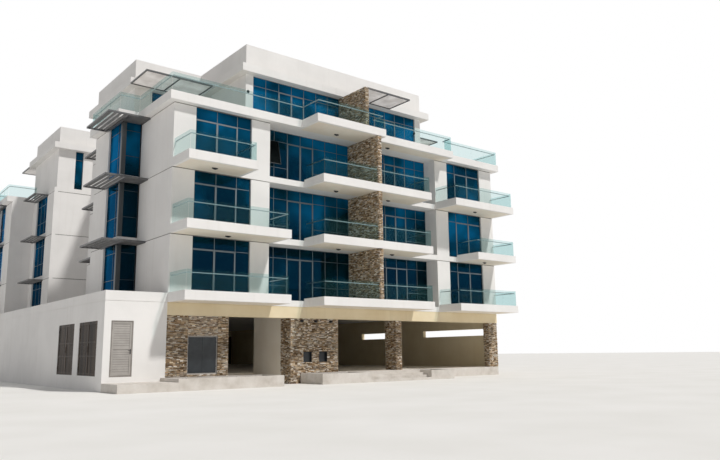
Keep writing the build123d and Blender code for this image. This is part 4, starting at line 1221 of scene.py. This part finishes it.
# %% Frames and opal sheets
ARM = 0.06
SHEET_HALF = 0.008
SHEET_JOINT = 0.006
canopy_frames = bmesh.new()
opal_sheets = bmesh.new()
for low, high in solids_of("terrace_canopies"):
    height = (low[2], high[2])
    middle = (low[0] + high[0]) / 2
    core = (low[2] + high[2]) / 2
    add_bar(canopy_frames, (low[0], high[0]), (low[1], low[1] + ARM), height)
    add_bar(canopy_frames, (low[0], high[0]), (high[1] - ARM, high[1]), height)
    for left in (low[0], middle - ARM / 2, high[0] - ARM):
        add_bar(canopy_frames, (left, left + ARM), (low[1] + ARM, high[1] - ARM), height)
    joint = (low[1] + high[1]) / 2
    for span in ((low[0] + ARM, middle - ARM / 2), (middle + ARM / 2, high[0] - ARM)):
        for depth in ((low[1] + ARM, joint - SHEET_JOINT), (joint + SHEET_JOINT, high[1] - ARM)):
            add_bar(opal_sheets, span, depth, (core - SHEET_HALF, core + SHEET_HALF))
canopy_frame_bars = make_piece(
    "terrace_canopy_frames", canopy_frames, canopy_paint, bevel=0.003,
)
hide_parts("terrace_canopies")
make_piece("canopy_sheets", opal_sheets, opal_plastic)

# %% [markdown]
# ## Shadow gaps
# The grooves in the render under each floor are narrow shadow gaps. A grey line at their back is
# painted shade, which keeps them dark, as dirt and shade do on the real walls. The four quarters of the
# block mirror each other, so one function adds each line four times.

# %% Painted shade at the back of the grooves
GROOVE = 0.04
GROOVE_DEPTH = 0.02
LINE = 0.002
CORE_HALF = 6.35
STRIP = 0.56
BAY_END = 7.9
BAY_WINDOW = 1.72
STRIP_WINDOW_START, STRIP_WINDOW_END = 1.0, 3.8
WELL = 13.4
WALL = 0.25
lines = bmesh.new()


def add_painted_groove_shade(x, y, level):
    """A grey line of painted shade in a groove of the front left quarter, and in the three mirrored
    ones.
    """
    height = (soffit(level) - GROOVE, soffit(level))
    for side_x in (-1, 1):
        for side_y in (-1, 1):
            span_x = sorted((side_x * x[0], side_x * x[1]))
            span_y = sorted((side_y * y[0], side_y * y[1]))
            add_bar(lines, span_x, span_y, height)


# painted shade: a grey line at the back of each groove
for level in (2, 3, 4):
    face = FRONT + GROOVE_DEPTH
    add_painted_groove_shade((-HALF_WIDTH + GROOVE_DEPTH, across(WING_END)), (face - LINE, face), level)
    face = GROOVE_DEPTH - HALF_WIDTH
    add_painted_groove_shade((face - LINE, face), (FRONT + GROOVE_DEPTH, FRONT + BAY_START), level)
    face = across(GROOVE_DEPTH - BAY_FACE)
    bay_wall = (FRONT + BAY_START + POST + BAY_WINDOW, FRONT + BAY_END)
    add_painted_groove_shade((face - LINE, face), bay_wall, level)
    face = across(STRIP + GROOVE_DEPTH)
    strip_start = FRONT + BAY_END
    add_painted_groove_shade((face - LINE, face), (strip_start, strip_start + STRIP_WINDOW_START), level)
    add_painted_groove_shade((face - LINE, face), (strip_start + STRIP_WINDOW_END, FRONT + WELL), level)
    face = FRONT + WELL - GROOVE_DEPTH
    add_painted_groove_shade((across(STRIP + WALL), -CORE_HALF), (face, face + LINE), level)
make_piece("groove_painted_shade", lines, grey_painted_shade)

# %% [markdown]
# ## Balustrades
# A balustrade is a row of toughened glass sheets, about 1.3 m wide with thin gaps, held in a kerb. The
# CAD part has each run as one solid, so the runs are measured and cut into sheets.

# %% Glass sheets
SHEET = 1.3
SHEET_GAP = 0.012
glass_runs = []
for low, high in solids_of("balustrade_glass"):
    along = 0 if high[0] - low[0] > high[1] - low[1] else 1
    length = high[along] - low[along]
    glass_runs.append((low, high, along, length, max(1, round(length / SHEET))))
sheets = bmesh.new()
for low, high, along, length, count in glass_runs:
    for index in range(count):
        start = low[along] + length * index / count + (SHEET_GAP / 2 if index else 0)
        end = low[along] + length * (index + 1) / count
        end -= SHEET_GAP / 2 if index < count - 1 else 0
        limits = [(low[0], high[0]), (low[1], high[1]), (low[2], high[2])]
        limits[along] = (start, end)
        add_bar(sheets, *limits)
glass_sheets = make_piece("balustrade_sheets", sheets, toughened_glass)
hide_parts("balustrade_glass")

# %% [markdown]
# ## Brackets
# A square steel handrail runs along the inside of the glass, a little under its top edge, and short
# brackets join it to the glass. A bracket is set in the middle of each sheet, on the side where the
# handrail's own mesh is found, so the two always meet.

# %% Brackets from the glass to the handrails
KERB_TOP = 0.42
GLASS_RISE = 0.9
RAIL_DROP = 0.12
RAIL_HALF = 0.0175
RAIL_MIDDLE = 0.0625
BRACKET_HALF = (0.02, 0.02, 0.012)
AT_RAIL = 0.03
rail_shape = BVHTree.FromObject(
    frame["nodes"]["handrails"], bpy.context.evaluated_depsgraph_get(),
)
rail_rise = KERB_TOP + GLASS_RISE - RAIL_DROP - RAIL_HALF
rail_levels = [soffit(level) + rail_rise for level in (1, 2, 3, 4)]
brackets = bmesh.new()
for low, high, along, length, count in glass_runs:
    for index in range(count):
        spot = (low + high) / 2
        spot[along] = low[along] + length * (index + 0.5) / count
        spot[2] = next(z for z in rail_levels if low[2] < z < high[2])
        for side in (-1, 1):
            reach = spot.copy()
            reach[1 - along] += side * RAIL_MIDDLE
            if rail_shape.find_nearest(reach)[3] < AT_RAIL:
                limits = [(spot[i] - BRACKET_HALF[i], spot[i] + BRACKET_HALF[i]) for i in range(3)]
                limits[1 - along] = tuple(sorted((spot[1 - along], reach[1 - along])))
                add_bar(brackets, *limits)
make_piece("rail_brackets", brackets, brushed_steel, bevel=0.002)

# %% [markdown]
# ## The camera
# The camera stands at eye level, left of the block and looking slightly up. Its place and its three
# axes were solved from the block's own straight edges, so they are written down as they came out.

# %% Camera at eye level
CAMERA_PLACE = (-23.466, -46.700, 1.473)
CAMERA_RIGHT = (0.78113, -0.62425, -0.01246)
CAMERA_UP = (-0.09937, -0.14399, 0.98457)
CAMERA_FORWARD = (0.61641, 0.76784, 0.17451)
camera_data = bpy.data.cameras.new("camera")
camera_data.sensor_width = 36
camera_data.lens = 34.545
camera_data.clip_end = 500
camera = bpy.data.objects.new("camera", camera_data)
bpy.context.scene.collection.objects.link(camera)
axes = Matrix((CAMERA_RIGHT, CAMERA_UP, [-v for v in CAMERA_FORWARD])).transposed().to_4x4()
camera.matrix_world = Matrix.Translation(CAMERA_PLACE) @ axes
bpy.context.scene.camera = camera
print("camera", camera_data.lens, "mm, eye", CAMERA_PLACE[2], "m high")

# %% [markdown]
# ## The floor
# The block stands on a plain pale floor, large enough for its edges to stay far behind the block in
# every view. It is stage, not part of the block, and lies just under it, so that the two don't share a
# plane.

# %% Pale floor
floor_finish, tree = start_material("pale_floor")
place = add(tree, "ShaderNodeTexCoord").outputs["Object"]
mottle = add(
    tree, "ShaderNodeTexNoise", {"Scale": per_metre(2500), "Detail": 3.0}, {"Vector": place},
)
tone = add(
    tree, "ShaderNodeValToRGB", {"stops": [(0.3, "#edebe7"), (0.7, "#f3f1ee")]}, {0: mottle},
)
surface = add(tree, "ShaderNodeBsdfPrincipled", {"Roughness": 0.9}, {"Base Color": tone})
add(tree, "ShaderNodeOutputMaterial", links={0: surface})
floor_mesh = bmesh.new()
bmesh.ops.create_grid(floor_mesh, x_segments=4, y_segments=4, size=250)
floor_data = bpy.data.meshes.new("floor")
floor_mesh.to_mesh(floor_data)
floor_mesh.free()
floor_data.materials.append(floor_finish)
floor = bpy.data.objects.new("floor", floor_data)
floor.location.z = -0.002
bpy.context.scene.collection.objects.link(floor)
floor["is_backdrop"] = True
print("floor", [round(v) for v in floor.dimensions])

# %% [markdown]
# ## The light
# A broad sun stands high on the right of the front, as the real one does, and an even world fills the
# shade. Where the camera, glass or metal looks past the block it sees plain white, by the kind of ray,
# so that the white background adds no light of its own.

# %% Sun and world
sun_data = bpy.data.lights.new("sun", "SUN")
sun_data.energy = 2.35
sun_data.angle = math.radians(4)
sun_data.color = (1.0, 0.98, 0.95)
sun = bpy.data.objects.new("sun", sun_data)
toward_sun = Vector((0.26, -0.62, 0.86))
sun.rotation_mode = "QUATERNION"
sun.rotation_quaternion = toward_sun.to_track_quat("Z", "Y")
bpy.context.scene.collection.objects.link(sun)

world = bpy.data.worlds.new("studio")
bpy.context.scene.world = world
world.use_nodes = True
tree = world.node_tree
tree.nodes.clear()
ray = add(tree, "ShaderNodeLightPath")
seen = add(
    tree, "ShaderNodeMath", {"operation": "MAXIMUM"},
    {0: ray.outputs["Is Camera Ray"], 1: ray.outputs["Is Glossy Ray"]},
)
seen_or_through = add(
    tree, "ShaderNodeMath", {"operation": "MAXIMUM"},
    {0: seen, 1: ray.outputs["Is Transmission Ray"]},
)
fill = add(tree, "ShaderNodeBackground", {"Color": (0.95, 0.97, 1.0, 1.0), "Strength": 0.31})
white = add(tree, "ShaderNodeBackground", {"Color": (1.0, 1.0, 1.0, 1.0), "Strength": 1.0})
either = add(tree, "ShaderNodeMixShader", links={0: seen_or_through, 1: fill, 2: white})
add(tree, "ShaderNodeOutputWorld", links={0: either})
bpy.context.scene.view_settings.view_transform = "Standard"
print("sun", sun_data.energy, "fill", fill.inputs["Strength"].default_value)

# %% [markdown]
# ## Sizes and finish
# The dressed block's box is measured against the CAD part's own box, and how far it reaches past it on
# each side is printed.

# %% Sizes and finish
new_low, new_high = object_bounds()
low_reach, high_reach = new_low - cad_low, new_high - cad_high
print("added reach", [round(v, 4) for v in low_reach], [round(v, 4) for v in high_reach])
